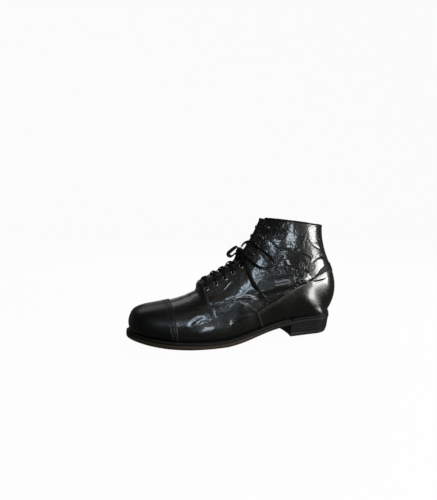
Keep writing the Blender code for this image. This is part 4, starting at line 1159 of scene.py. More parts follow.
def make_toe_cap():
    """Toe cap with a rolled rear edge and a row of punched holes along its seam.

    Holes are round dips of the lift that fall off as a fourth power of the distance.
    """
    share = np.linspace(-1, 1, 421)
    edge, step = cap_edge(share), 0.2
    depth = CAP_BAND * finer_at_ends(28, CAP_BAND, (True, False))
    rear = smooth_leather(edge, share)
    per_section = np.linalg.norm(smooth_leather(edge - step, share) - rear, axis=1) / step
    band = edge[:, None] - depth / per_section[:, None]
    front = band[:, -1:] * (1 - np.linspace(0, 1, 70)[1:] ** 0.9)
    number = np.concatenate([band, front], axis=1).T
    share = np.broadcast_to(share, number.shape)
    behind = np.concatenate([np.broadcast_to(depth, band.shape), np.full(front.shape, FAR)], axis=1).T
    beside = (run_of(rear) + HOLE_PITCH / 2) % HOLE_PITCH - HOLE_PITCH / 2
    holes = HOLE_DIP * np.exp(-(np.hypot(beside, behind - CAP_HOLES) / HOLE_RADIUS) ** 4)
    lift = rolled_edge(behind, PANEL) - holes - furrows(behind, CAP_STITCHES, CAP_FURROW)
    add_panel("cap", number, share, lift, all_cells(number), CAP_LEATHER, ["toe_cap"],
              PALE_EDGE * bell(behind, PALE_WIDTH))


def seam_line(side, first=TAB_FRONT, last=HEEL_POINT):
    """Section numbers and shares along the quarter's lower edge, from the tab to the heel point."""
    number = np.linspace(first, last, 160)
    return number, from_slot(number, side, side_edge(number))


def slot_line(side):
    """Section numbers and shares along the slot's edge, from the tab to the collar."""
    number = np.linspace(TAB_FRONT, COLLAR, 220)
    return number, from_slot(number, side, 0.0)


def tab_slant(number):
    """How far the tab's front edge is set back at the slot, in sections, fading out behind it."""
    return TAB_SLANT * np.clip((TAB_STRAIGHT - number) / (TAB_STRAIGHT - TAB_FRONT), 0, 1)


def tab_line(side, first=0.0, last=1.0):
    """Section numbers and shares along the tab's front edge, from slot to seam."""
    part = np.linspace(first, last, 30)
    number = TAB_FRONT + TAB_SLANT * (1 - part)
    return number, from_slot(number, side, part * VAMP_SEAM.share[0])


def back_line(side, seam=FOXING_BACK, start=None):
    """Section numbers and shares along a seam behind the heel point, to the back."""
    share = np.linspace(seam.share[0] if start is None else start, 1, 120)
    number = back_edge(share, seam)
    number[1:-1] = evened(number, 6)[1:-1]
    return number, from_slot(number, side, share)


def foxing_line(side):
    """Section numbers and shares along the foxing's upper edge, from its nose to the back."""
    return [np.append(side_part, back_part[1:])
            for side_part, back_part in zip(seam_line(side, FOXING_FRONT), back_line(side))]


def nose_line(side, first, last=1.0):
    """Section numbers and shares down the foxing's front edge."""
    number = np.full(40, FOXING_FRONT)
    return number, from_slot(number, side, np.linspace(first, last, 40))


def make_quarter(side):
    """Quarter over vamp and shaft: rolled edges at slot, tab and vamp seam, tucked under the foxing behind.

    Up to the heel point its grid runs from slot to seam; behind it more columns run on from the seam to the
    back, and the rows rise from the seam to the collar.
    """
    above = finer_at_ends(90, 75.0)
    front = np.append(TAB_FRONT + (FOXING_FRONT - TAB_FRONT) * finer_at_ends(50, 65.0, (True, False))[:-1],
                      np.linspace(FOXING_FRONT, HEEL_POINT, 60))
    rise = finer_at_ends(75, 85.0, (True, False))[1:, None]
    tuck = QUARTER_TUCK * fade_in(front, FOXING_FRONT, 0.4)
    edge = side_edge(front) + tuck / girth(front, side)
    past = (edge[-1] + (1 - edge[-1]) * np.linspace(0, 1, 60))[1:]
    tucked = np.maximum(back_edge(past) - BACK_TUCK, HEEL_POINT)
    low = np.append(np.full(above.size, float(HEEL_POINT)), tucked)
    last = np.append(edge[-1] * above, past)
    share = np.concatenate([edge[:, None] * above, np.repeat(edge[:, None], past.size, 1)], axis=1)
    share[-1] = last
    number = np.repeat(front[:, None], low.size, 1)
    number[:, :above.size] += tab_slant(front)[:, None] * (1 - above)
    number[-1] = low
    number = np.concatenate([number, low + rise * (COLLAR - low)])
    share = from_slot(number, side, np.concatenate([share, np.repeat(last[None], len(rise), 0)]))
    keep = all_cells(share)
    keep[:front.size - 1, above.size - 1:] = False
    flat = on_skin(number, share).reshape(-1, 3)
    gap = gap_to(flat, slot_line(side), tab_line(side), seam_line(side, TAB_FRONT, FOXING_FRONT))
    lap = gap_to(flat, foxing_line(side))
    under = smooth_step(1 - (lap - LAP_FLAT) / LAP_FADE) * smooth_step(gap / LAP_EASE + 0.2)
    seam = gap_to(flat, (np.linspace(BACK_SEAM, COLLAR, 80), side))
    lift = rolled_edge(gap, PANEL) - COUNTER_DIP * under - BACK_SEAM_DIP * bell(seam, 0.5)
    lift = lift - furrows(gap, SEAM_STITCHES + [SLOT_STITCH], QUARTER_FURROW)
    lift = lift.reshape(number.shape) + tab_rise(number, share) - facing_rise(number, share)
    add_panel(f"quarter_leather_{SIDES[side]}", number, share, lift, keep, QUARTER_LEATHER,
              [f"quarter_{SIDES[side]}"], PALE_EDGE * bell(gap, PALE_WIDTH))


def round_back(sides):
    """Section numbers and shares of the outer and the inner side as one grid, joined along the back."""
    outer, inner = sides
    return [np.concatenate([a, b[:, ::-1]], axis=1) for a, b in zip(outer, inner)]


def make_foxing():
    """Counter cover round the heel, over quarter and vamp, its cut upper edge showing raw hide."""
    front = FOXING_FRONT + (HEEL_POINT - FOXING_FRONT) * finer_at_ends(90, 105.0, (True, False))
    below = finer_at_ends(46, 50.0, (True, False))
    rise = finer_at_ends(60, 65.0, (False, True))[1:, None]
    edge = side_edge(front)[:, None]
    share = edge + (1 - edge) * below
    top = np.maximum(back_edge(share[-1]), HEEL_POINT)
    number = np.repeat(front[:, None], below.size, 1)
    number = np.concatenate([number, HEEL_POINT + rise * (top - HEEL_POINT)])
    share = np.concatenate([share, np.repeat(share[-1:], len(rise), 0)])
    number, share = round_back([(number, from_slot(number, side, share)) for side in SIDES])
    keep = all_cells(share)
    keep[:front.size - 1, below.size - 1] = False
    flat = on_skin(number, share).reshape(-1, 3)
    gap = gap_to(flat, *(foxing_line(side) for side in SIDES))
    nose = gap_to(flat, *(nose_line(side, FOXING_SIDE.share[0]) for side in SIDES))
    both = np.minimum(gap, nose)
    lift = rolled_edge(both, PANEL, COUNTER_ROLL) - furrows(both, SEAM_STITCHES, COUNTER_FURROW)
    shown = RAW_MOST * np.interp(number.ravel(), RAW_EDGE.section, RAW_EDGE.share)
    marks = np.maximum(shown * np.exp(-(gap / RAW_WIDTH) ** 4), PALE_EDGE * bell(nose, PALE_WIDTH))
    add_panel("counter", number, share, lift.reshape(number.shape), keep, COUNTER_LEATHER, ["foxing"], marks)


def make_back_strip():
    """Wedge-shaped strip above the foxing round the back, narrow at its ends, with rolled edges."""
    along = np.linspace(STRIP_TOP.share[0], 1, 110)
    across = finer_at_ends(14, 7.0)[:, None]
    low = back_edge(along)
    number = low + across * (np.maximum(evened(back_edge(along, STRIP_TOP), 8), low + STRIP_LEAST) - low)
    number, share = round_back([(number, from_slot(number, side, along)) for side in SIDES])
    flat = on_skin(number, share)
    from_top, from_low = (np.linalg.norm(flat - edge, axis=2) for edge in (flat[-1:], flat[:1]))
    lift = STRIP_LIFT + rolled_edge(from_top, STRIP_THICK, STRIP_ROLL) - STRIP_SINK * bell(from_low, 1.2)
    add_panel("back_strip", number, share, lift, all_cells(number), BINDING_LEATHER,
              marks=STRIP_PALE * bell(from_top, STRIP_PALE_WIDTH))


def make_binding():
    """Bound edge over the collar: a narrow fold from outside to inside, carried along the collar's edge.

    The fold's section is a rounded arch: out half * cos(a) about the middle of the wall, up rise * sin(a).
    """
    across = np.linspace(0, 1, 120)
    share = np.concatenate([from_slot(COLLAR, -1, across), from_slot(COLLAR, 1, across[::-1])[1:]])
    out = skin_normals(COLLAR, share)[:, None]
    rim = smooth_leather(COLLAR, share)[:, None]
    up = unit(rim - smooth_leather(COLLAR - 0.3, share)[:, None])
    angle = np.linspace(-0.15, math.pi + 0.15, 17)
    wide = (BINDING_HALF * powered(np.cos(angle), BINDING_ROUND) - BINDING_IN)[:, None]
    arch = BINDING_RISE * np.abs(np.sin(angle)) ** BINDING_ROUND
    tall = (np.where(np.sin(angle) > 0, arch, -BINDING_LAP) - BINDING_DOWN)[:, None]
    points = rim + wide * out + tall * up
    add_piece("binding", points, grid_faces(*points.shape[:2]), BINDING_LEATHER,
              ["collar_binding"], outward=(wide + 2.0) * out + (tall + 2.0) * up)


def make_tongue():
    """Tongue behind the slot: a thick sheet, slightly waved, from under the vamp to over the collar's dip."""
    number = np.linspace(*TONGUE_ENDS, 110)[:, None]
    across = np.linspace(-1, 1, 41)
    share = from_ridge(number, np.interp(number, [THROAT, COLLAR], TONGUE_HALVES) * across)
    wave = TONGUE_WAVE * np.sin(number * 4.1) * (1 - across ** 2) + TONGUE_CURL * np.sin(across * 5 + number)
    sheets = [smooth_leather(number, share, wave - depth) for depth in (TONGUE_TOP, TONGUE_LOW)]
    quads = grid_faces(*share.shape)
    faces = np.concatenate([quads, quads[:, ::-1] + share.size, rim_faces(quads, share.size)])
    add_piece("tongue_leather", np.concatenate(sheets), faces, BINDING_LEATHER, ["tongue"],
              closed=True)


# Stitches

STITCH_PITCH = 2.7
STITCH = (1.8, 0.75, 0.6)
STITCH_LIFT = 0.02
STITCH_SINK = 0.12
STITCH_SPAN = 0.4
WELT_STITCH = (2.5, 0.95, 0.8)
WELT_STITCH_PITCH = 3.0
FACING_ROW = 17.0
STRIP_STITCHES = [0.9, 2.1]
COLLAR_ROW = COLLAR - 0.42


def offset_line(number, share, distance):
    """Line beside another on the skin: every point moves a distance square to the line, within the skin."""
    step = 0.01
    down = (on_skin(number + step, share) - on_skin(number - step, share)) / (2 * step)
    wide = (on_skin(number, share + step) - on_skin(number, share - step)) / (2 * step)
    tangent = np.gradient(on_skin(number, share), axis=0)
    beside = distance * unit(np.cross(skin_normals(number, share), tangent))
    a, b, c = (down * down).sum(-1), (down * wide).sum(-1), (wide * wide).sum(-1)
    p, q = (down * beside).sum(-1), (wide * beside).sum(-1)
    fall = np.maximum(a * c - b * b, 1e-9)
    return number + (c * p - b * q) / fall, share + (a * q - b * p) / fall


def stitch_mesh(places, runs, outs, size):
    """Points and quads of stitches: each is a rounded bar, its length along its run, arched over the leather.

    A bar's section is a ring of six points that shrinks to its two ends as the root of 1 - s s.
    """
    length, width, height = size
    s = np.array([-1.0, -0.75, 0.0, 0.75, 1.0])[:, None]
    turn = np.arange(6) * math.pi / 3
    shrink = np.sqrt(np.maximum(1 - s ** 2, 0.02))
    along = np.repeat(s, 6, 1) * length / 2
    aside = shrink * np.cos(turn) * width / 2
    rise = shrink * np.sin(turn) * height / 2 - STITCH_SINK * s ** 2
    places, runs, outs = (given[:, None, None] for given in (places, runs, outs))
    points = (places + along[..., None] * runs + aside[..., None] * np.cross(outs, runs)
              + rise[..., None] * outs)
    ring = np.arange(6)
    base = np.stack([ring, np.roll(ring, -1), np.roll(ring, -1) + 6, ring + 6], axis=1)
    ends = [[0, 5, 4, 3], [0, 3, 2, 1], [24, 25, 26, 27], [24, 27, 28, 29]]
    quads = np.concatenate([base + 6 * k for k in range(4)] + [ends])
    faces = quads + (30 * np.arange(len(points)))[:, None, None]
    return points.reshape(-1, 3), faces.reshape(-1, 4)


def stitches_on(number, share, lift):
    """Places, directions and outward directions of stitches evenly spaced along a line on the skin."""
    flat = on_skin(number, share)
    run = run_of(flat)
    marks = np.arange(STITCH_PITCH, run[-1] - STITCH_PITCH / 2, STITCH_PITCH)
    number, share = np.interp(marks, run, number), np.interp(marks, run, share)
    step = tab_rise(number, share) - facing_rise(number, share)
    places = leather(number, share, lift + np.where(number > TAB_FRONT, step, 0.0))
    line = read_line(marks + STITCH_SPAN, run, flat) - read_line(marks - STITCH_SPAN, run, flat)
    outs = skin_normals(number, share)
    return places, unit(line - (line * outs).sum(axis=1, keepdims=True) * outs), outs


def make_stitches():
    """Rows of stitches along every seam of the upper, joined into a piece for each of the two threads; the
    seams' thread is lighter than black as a painted glint.
    """
    rows, dark_rows = [], []

    def beside(kept, line, way, offsets, lift=STITCH_LIFT):
        kept.extend((*offset_line(*line, way * offset), lift) for offset in offsets)

    share = np.linspace(-0.995, 0.995, 260)
    beside(dark_rows, (cap_edge(share), share), 1, CAP_STITCHES)
    for side in SIDES:
        beside(rows, seam_line(side, TAB_FRONT + 0.02, FOXING_FRONT + 0.1), -side, SEAM_STITCHES)
        facing = np.linspace(TAB_FRONT + 0.1, COLLAR - 0.3, 260)
        for offset in (SLOT_STITCH, FACING_ROW):
            dark_rows.append((facing, from_ridge(facing, side * (slot_half(facing) + offset)), STITCH_LIFT))
        beside(rows, tab_line(side, 0.07, 0.98), -side, SEAM_STITCHES)
        beside(rows, foxing_line(side), side, SEAM_STITCHES)
        beside(rows, nose_line(side, 0.76, 0.99), -side, SEAM_STITCHES)
        beside(dark_rows, back_line(side, STRIP_TOP, 0.60), side, STRIP_STITCHES, STRIP_LIFT)
        collar = np.full(160, COLLAR_ROW)
        dark_rows.append((collar, from_slot(collar, side, np.linspace(0.04, 0.995, 160)), STITCH_LIFT))
    for name, wanted, look in (("seam_stitches", rows, SEAM_THREAD_PAINTED_GLINT), ("dark_stitches", dark_rows, DARK_THREAD)):
        found = [np.concatenate(made) for made in zip(*(stitches_on(*row) for row in wanted))]
        points, faces = stitch_mesh(*found, STITCH)
        add_piece(name, points, faces, look, closed=True)


# Sole and heel

SOLE_PROFILE = table(
    "inset rise", (2.5, 1.0), (0.9, 1.0), (0.35, 0.95), (0.1, 0.82), (0.0, 0.6), (0.0, 0.4), (0.1, 0.2),
    (0.4, 0.06), (1.0, 0.0), (2.5, 0.0))
INSOLE_PROFILE = table("inset rise", (3.0, 1.0), (1.2, 0.9), (0.2, 0.6), (0.0, 0.0), (3.0, 0.0))
WELT_PROFILE = [(9.0, -3.0), (0.9, -3.0), (0.45, -2.7), (0.35, -1.6), (0.45, -0.6), (0.9, -0.18),
                (1.6, -0.08), (2.1, -0.3), (2.7, -0.3), (3.2, -0.08), (9.0, -0.08)]
RAND_PROFILE = [(6.0, -3.0), (0.9, -3.0), (0.5, -2.6), (0.4, -1.6), (0.5, -0.8), (0.9, -0.3), (1.6, -0.12),
                (6.0, -0.1)]
WELT_SEAM = (2.4, -0.12)
END_GAP = 0.01
OUTSOLE_GAP = 0.2
SOLE_JOINT = 0.3
INSOLE_RISE = 1.5
CLOSING_RINGS = (0.75, 0.4, 0.0)

# Heel levels: share of the height and extra inset, for rounded rims and the joints of the lifts
LIFT_LEVELS = [(0.0, 0.5), (0.03, 0.1), (0.1, 0.0), (0.30, 0.0), (0.32, 0.07), (0.34, 0.0), (0.62, 0.0),
               (0.64, 0.07), (0.66, 0.0), (0.9, 0.0), (1.0, 0.1)]
TOP_LIFT_LEVELS = [(0.0, 0.7), (0.05, 0.2), (0.15, 0.0), (0.85, 0.0), (0.97, 0.15), (1.0, 0.4)]
LIFT_GAP = 0.1


def outsole_top(along):
    """Face under welt and insole."""
    return seat_height(along) - WELT_THICK - OUTSOLE_GAP


def outsole_bottom(along):
    """Underside: flat on the floor at the tread, lifted at toe, arch and heel."""
    return np.maximum(seat_height(along) - WELT_THICK - SOLE_JOINT - OUTSOLE_THICK, 0.0)


def level(height):
    """Flat face at one height."""
    return lambda along: np.full_like(along, height)


def edge_line(station, inset, height):
    """Points round the sole's outline at a height, on the outer side where the station is negative."""
    along, outer, inner = outline(np.abs(station), inset)[:3]
    return np.stack([along, np.where(station < 0, outer, inner), height(along)], axis=1)


def sole_slab(name, edge, profile, top, bottom, look, stands_for):
    """Slab with the sole's outline: an edge profile carried round it, its faces closed to the middle line."""
    half = np.concatenate([np.linspace(0, 2, 146, endpoint=False), np.linspace(2, 3, 73)])
    station = np.concatenate([-half[::-1], half[1:]])
    columns = []
    for inset, rise in zip(*profile):
        columns.append(edge_line(station, edge + inset,
                                 lambda along: bottom(along) + rise * (top(along) - bottom(along))))
    inner = np.linspace(0, 1, 9)[1:-1]
    centre = outline(np.abs(station), edge)[3]
    rims = columns[0], columns[-1]
    high, low = (np.stack([rim[:, 0], centre, rim[:, 2]], axis=1) for rim in rims)
    first = [high] + [high + f * (rims[0] - high) for f in inner]
    final = [rims[1] + f * (low - rims[1]) for f in inner] + [low]
    add_grids(name, [np.stack(first + columns + final, axis=1)], look, stands_for)


def welt_band(name, station, profile, stands_for):
    """Band along the sole's edge: a closed profile of inset and drop carried along it, its ends closed."""
    columns = [edge_line(station, inset, lambda along: seat_height(along) + drop) for inset, drop in profile]
    points = np.stack(columns + columns[:1], axis=1)
    ends = [np.repeat(points[k].mean(axis=0)[None, None], points.shape[1], axis=1) for k in (0, -1)]
    add_grids(name, [np.concatenate([ends[0], points, ends[1]])], WELT_EDGE, stands_for)


def make_welt():
    """Welt round the forepart with its row of stitches, and the rand round the heel seat."""
    welt_band("welt_strip", np.linspace(-BREAST, BREAST, 420), WELT_PROFILE, ["welt"])
    reach = 3 - BREAST - END_GAP
    back = np.linspace(-reach, reach, 240)
    welt_band("rand_strip", np.sign(back) * (3 - np.abs(back)), RAND_PROFILE, ["heel_rand"])
    inset, drop = WELT_SEAM
    line = edge_line(np.linspace(-BREAST + END_GAP, BREAST - END_GAP, 1500), inset,
                     lambda along: seat_height(along) + drop)
    run = run_of(line)
    marks = np.arange(2.0, run[-1] - 2, WELT_STITCH_PITCH)
    places = read_line(marks, run, line)
    runs = unit(read_line(marks + 0.5, run, line) - places)
    outs = unit(np.array([0, 0, 1.0]) - runs[:, 2:] * runs)
    points, faces = stitch_mesh(places, runs, outs, WELT_STITCH)
    add_piece("welt_stitches", points, faces, WELT_THREAD, closed=True)


def heel_loop(inset):
    """Closed outline of the heel at one level: round the back from breast to breast, then across."""
    rear = np.concatenate([np.linspace(BREAST, 2, 24, endpoint=False), np.linspace(2, 3, 60)])
    along, outer, inner = outline(rear, inset)[:3]
    outer, inner = np.stack([along, outer], axis=1), np.stack([along, inner], axis=1)[::-1]
    part = np.linspace(0, 1, 40)[1:-1]
    across = inner[-1] + part[:, None] * (outer[0] - inner[-1])
    across[:, 0] += BREAST_HOLLOW * (1 - (2 * part - 1) ** 2)
    return np.concatenate([outer, inner[1:], across, outer[:1]])


def heel_block(name, low_edge, high_edge, low, high, levels, look, stands_for):
    """Block of the heel: outlines stacked from its lower to its upper face, closed by rings to the middle."""
    rings = []
    for share, extra in levels:
        flat = heel_loop(low_edge + share * (high_edge - low_edge) + extra)
        bottom, top = low(flat[:, 0]), high(flat[:, 0])
        rings.append(np.column_stack([flat, bottom + share * (top - bottom)]))
    caps = []
    for ring, face in ((rings[0], low), (rings[-1], high)):
        middle = ring.mean(axis=0)
        shrunk = [middle + f * (ring - middle) for f in CLOSING_RINGS]
        caps.append([np.column_stack([s[:, :2], face(s[:, 0])]) for s in shrunk])
    add_grids(name, [np.stack(caps[0][::-1] + rings + caps[1])], look, stands_for)


def make_sole():
    """Outsole, insole, stacked heel and top lift."""
    sole_slab("outsole_leather", 0.0, SOLE_PROFILE, outsole_top, outsole_bottom, SOLE_EDGE,
              ["outsole"])
    sole_slab("insole_leather", INSOLE_EDGE, INSOLE_PROFILE, lambda along: seat_height(along) + INSOLE_RISE,
              lambda along: seat_height(along) - WELT_THICK, INSOLE_LEATHER, ["insole"])
    heel_block("heel_lifts", HEEL_MIDDLE_EDGE, HEEL_TOP_EDGE, level(TOP_LIFT_THICK + LIFT_GAP),
               lambda along: outsole_bottom(along) - LIFT_GAP, LIFT_LEVELS, HEEL_EDGE,
               ["heel_stack"])
    heel_block("heel_top_piece", HEEL_FLOOR_EDGE, HEEL_MIDDLE_EDGE, level(0.0),
               level(TOP_LIFT_THICK - LIFT_GAP), TOP_LIFT_LEVELS, LIFT_RUBBER, ["top_lift"])


# Eyelets, hooks and lace

def turned(place, profile, sides):
    """Grid of a profile of radius and rise turned about the outward direction of a place."""
    point, to_slot, up, out = place
    turn = np.linspace(0, 2 * math.pi, sides + 1)[:, None]
    ring = np.cos(turn) * to_slot + np.sin(turn) * up
    return point + profile.radius[:, None] * ring[:, None] + profile.rise[:, None] * out


def node_names(kind, label, sections):
    """Names of the solids of one side's row, numbered from the throat."""
    return [f"{kind}_{label}_{k + 1}" for k in range(len(sections))]


def make_eyelets():
    """Metal eyelets: a rolled rim outside, a barrel through the leather and a clinched rim inside."""
    for side, label in SIDES.items():
        grids = [turned(place, EYELET, 28) for place in EYELETS[side]]
        # The rings take the metal whose lighter enamel is a painted sheen
        add_grids(f"eyelet_rings_{label}", grids, WORN_METAL_PAINTED_SHEEN,
                  node_names("eyelet", label, EYELET_SECTIONS))


def make_hooks():
    """Lace hooks: a strip bent over on itself, round at both ends, held by a rivet.

    The strip's section is a flat ring: half width cos(a) up the slot, half thickness sin(a) off the strip.
    """
    marks = np.arange(len(HOOK.half))
    fine = np.linspace(0, marks[-1], 60)
    forward, off = (spline(marks, values, fine)[:, None] for values in (HOOK.forward, HOOK.out))
    half = evened(np.interp(fine, marks, HOOK.half), 3)
    half[[0, -1]] = 0.0
    thick = HOOK_THICK / 2 * np.minimum(1, half / HOOK_TAPER)
    turn = np.linspace(0, 2 * math.pi, 15)
    wide = half[:, None] * powered(np.cos(turn), 0.5)
    deep = thick[:, None] * np.sin(turn)
    for side, label in SIDES.items():
        grids = []
        for number in HOOK_SECTIONS:
            point, to_slot, up, out = place_on(number, side * ROW_FROM_RIDGE)
            path = point + forward * to_slot + off * out
            off_strip = unit(np.cross(np.gradient(path, axis=0), up))
            grids.append(path[:, None] + wide[..., None] * up + deep[..., None] * off_strip[:, None])
            grids.append(turned((point - RIVET_BACK * to_slot, to_slot, up, out), RIVET, 20))
        add_grids(f"hook_strips_{label}", grids, METAL, node_names("hook", label, HOOK_SECTIONS))


def smooth_path(route):
    """Evenly spaced points on a smooth curve through a route."""
    route = np.array(route, float)
    marks = run_of(route)
    curve = curve_through(np.linspace(0, marks[-1], 400), marks, route)
    run = run_of(curve)
    return read_line(np.linspace(0, run[-1], max(8, round(run[-1] / BOW_STEP))), run, curve)


def ribbon(path, wide, width, thick, sides=14):
    """Grid and UV of a flat lace along a path: rounded edges, its width along the given direction.

    The section at angle a is width / 2 * cos(a) ** 0.55 across and thick / 2 * sin(a) ** 0.8 off the flat.
    """
    run = unit(np.gradient(path, axis=0))
    wide = unit(wide - (wide * run).sum(axis=1, keepdims=True) * run)
    off = np.cross(run, wide)
    turn = np.linspace(0, 2 * math.pi, sides + 1)
    across, rise = powered(np.cos(turn), 0.55) / 2, powered(np.sin(turn), 0.8) / 2
    width, thick = (np.broadcast_to(size, len(path))[:, None] for size in (width, thick))
    aside, above = (width * across)[..., None], (thick * rise)[..., None]
    grid = path[:, None] + aside * wide[:, None] + above * off[:, None]
    ends = [np.repeat(path[k][None, None], sides + 1, axis=1) for k in (0, -1)]
    length = np.pad(run_of(path), 1, mode="edge")
    uv = np.stack(np.broadcast_arrays(length[:, None], across + 0.5), axis=-1)
    return np.concatenate([ends[0], grid, ends[1]]), uv


def add_ribbons(name, made, stands_for):
    """One piece of several ribbons of lace."""
    grids, uvs = zip(*made)
    return add_grids(name, grids, LACE_CLOTH, stands_for,
                     np.concatenate([uv.reshape(-1, 2) for uv in uvs]))


AHEAD = 0.02
THROUGH_HOLE = 0.07


def strand(first, last, lifts, finish=None):
    """Ribbon of the lace from one eyelet over the slot to another, or on to a last point.

    first and last are section numbers and signed distances from the ridge; lifts pairs shares of the way with
    heights over the leather. The lace is bunched where it goes through a hole.
    """
    share, lift = np.array(lifts).T
    whole = np.subtract(last, first)
    number, distance = first[0] + share * whole[0], first[1] + share * whole[1]
    where = from_ridge(number, distance)
    centre = smooth_leather(number, where, lift)
    further = number + AHEAD * whole[0]
    ahead = smooth_leather(further, from_ridge(further, distance + AHEAD * whole[1]))
    ahead = ahead - smooth_leather(number, where)
    wide = unit(np.cross(skin_normals(number, where), ahead))
    bunched = (share < THROUGH_HOLE).astype(float)
    if finish is not None:
        centre = np.concatenate([centre, finish])
        wide = np.concatenate([wide, np.repeat(wide[-1:], len(finish), 0)])
        bunched = np.append(bunched, np.zeros(len(finish)))
    marks = run_of(centre, 0.2)
    fine = np.linspace(0, marks[-1], 70)
    through = np.interp(fine, marks, bunched)
    return ribbon(curve_through(fine, marks, centre), read_line(fine, marks, wide),
                  STRAND_WIDTH + (BUNCHED_WIDTH - STRAND_WIDTH) * through,
                  LACE_THICK + (BUNCHED_THICK - LACE_THICK) * through)


# Heights of the strands over the leather at shares of their way; at a crossing one lies over the other
UNDER = -4.7
CROSSING = {True: 0.5, False: -0.9}
FROM_HOLE = [(0.03, -4.4), (0.03, -1.2), (0.042, 0.4), (0.075, 1.15), (0.16, 0.7)]
TO_KNOT = [(0.06, -4.4), (0.06, -1.2), (0.085, 0.4), (0.16, 1.1), (0.45, 0.9)]
KNOT_LIFT = {-1: 1.4, 1: 2.4}
KNOT_SECTION = 12.35
KNOT_ASIDE = 3.6


def make_lacing():
    """Crossed lacing: a strand comes up through an eyelet, crosses the slot and goes under the other side."""
    row = ROW_FROM_RIDGE
    edges = [(row - slot_half(number)) / (2 * row) for number in EYELET_SECTIONS]
    made = [strand((EYELET_SECTIONS[0], -row), (EYELET_SECTIONS[0], row),
                   [(0.0, UNDER), (0.3, UNDER), (0.5, -4.6), (0.7, UNDER), (1.0, UNDER)])]
    for k in range(len(EYELET_SECTIONS) - 1):
        for side in SIDES:
            over = CROSSING[(k % 2 == 0) == (side < 0)]
            far = 1 - edges[k + 1]
            lifts = FROM_HOLE + [(edges[k], 0.65), (0.5, over), (far - 0.03, -3.0), (far + 0.06, UNDER),
                                 (1.0, UNDER)]
            start, stop = (EYELET_SECTIONS[k], side * row), (EYELET_SECTIONS[k + 1], -side * row)
            made.append(strand(start, stop, lifts))
    for side in SIDES:
        finish = np.array([KNOT + (-0.5, 1.5 * side, -2.5), KNOT])
        made.append(strand((EYELET_SECTIONS[-1], side * row), (KNOT_SECTION, side * KNOT_ASIDE),
                           TO_KNOT + [(0.8, KNOT_LIFT[side])], finish))
    add_ribbons("lacing", made, ["lace_bars"])


def make_bow():
    """Knot, loops, ends and tips of the tied lace.

    A loop's flat side leans out of the loop's own plane; an end's turns slowly about its path.
    """
    knot = add_ribbons("bow_knot", knot_ribbons(), ["lace_knot"])
    for label, route in BOW.items():
        path = smooth_path(route)
        along = np.gradient(path, axis=0)
        share = np.linspace(0, 1, len(path))
        from_knot, to_end = (part * len(path) * BOW_STEP for part in (share, 1 - share))
        if "loop" in label:
            plane = np.linalg.svd(path - path.mean(axis=0))[2][2]
            lean = math.radians(LOOP_LEAN[label])
            wide = math.cos(lean) * plane + math.sin(lean) * np.cross(plane, unit(along))
            full_thick, free = LOOP_THICK, np.minimum(from_knot, to_end)
        else:
            face = np.array(END_FACE[label]) + 0.5 * np.sin(3 * share)[:, None] * np.array([1.0, 0, 0])
            wide = np.cross(along, face)
            full_thick, free = LACE_THICK, from_knot
        pinch = np.minimum(1, free / PINCH_REACH)
        width = PINCHED_WIDTH + (LACE_WIDTH - 0.2 - PINCHED_WIDTH) * pinch
        thick = PINCHED_THICK + (full_thick - PINCHED_THICK) * pinch
        if "end" in label:
            last = np.minimum(1, to_end / CRIMP_REACH)
            width = CRIMPED_WIDTH + (width - CRIMPED_WIDTH) * last
            thick = CRIMPED_THICK + (thick - CRIMPED_THICK) * last
        piece = add_ribbons(f"bow_{label}", [ribbon(path, wide, width, thick)], [f"lace_{label}"])
        with_pieces = []
        if "end" in label:
            with_pieces = [make_tip(label[4:], path)] + ([knot] if label == "end_outer" else [])


def make_tip(label, path):
    """Stiff tip of a lace end: a slim round tube with a crimped start and a closed, rounded point."""
    run = unit(path[-1] - path[-3])
    side = unit(np.cross(run, [0, 0, 1.0]))
    grid = turned((path[-1] + 0.1 * run, side, np.cross(run, side), run), TIP, 16)
    return add_grids(f"bow_tip_{label}", [grid], TIP_GLOSS, [f"lace_tip_{label}"])


KNOT_BANDS = [((0.55, 0.25, 0.8), (0.2, 1.0, 0.1), 3.6, 4.6), ((0.9, 0.1, -0.35), (0.1, 1.0, 0.3), 3.3, 3.8)]
KNOT_SIZE = 3.4


def knot_ribbons():
    """Knot: a rounded lump under two lace bands that wrap it, one across and one slanting.

    A band runs round an ellipse about its axis; the lump is a ball with three low ribs.
    """
    made = []
    turn = np.linspace(0, 2 * math.pi, 41)[:, None]
    for axis, tilt, radius, width in KNOT_BANDS:
        along = unit(np.array(axis))
        one = unit(np.cross(along, tilt))
        path = KNOT + radius * (np.cos(turn) * one + 0.85 * np.sin(turn) * np.cross(along, one))
        made.append(ribbon(path, along, width, LOOP_THICK))
    up, around = np.meshgrid(np.linspace(0, math.pi, 15), np.linspace(0, 2 * math.pi, 25), indexing="ij")
    lump = KNOT_SIZE * (1 + 0.12 * np.sin(3 * around) * np.sin(up))
    out = lump * np.sin(up)
    grid = KNOT + np.stack([out * np.cos(around), out * np.sin(around), 1.15 * lump * np.cos(up)], axis=-1)
    return made + [(grid, np.stack([around * 3, up / math.pi], axis=-1))]


# Stage: sizes in metres

FLOOR_LEVEL = 2.6
FLOOR_BEND = 0.9
FLOOR_TOP = 3.5
FLOOR_GLOW = 0.96
FLOOR_GREY = (0.060, 0.060, 0.060)
FLOOR_PALE = (0.066, 0.066, 0.066)
SKY_COLOUR = (1.0, 1.0, 0.88)
SKY_STRENGTH = 0.06
LIT_MIDDLE = Vector((0.0, 0.0, 0.07))


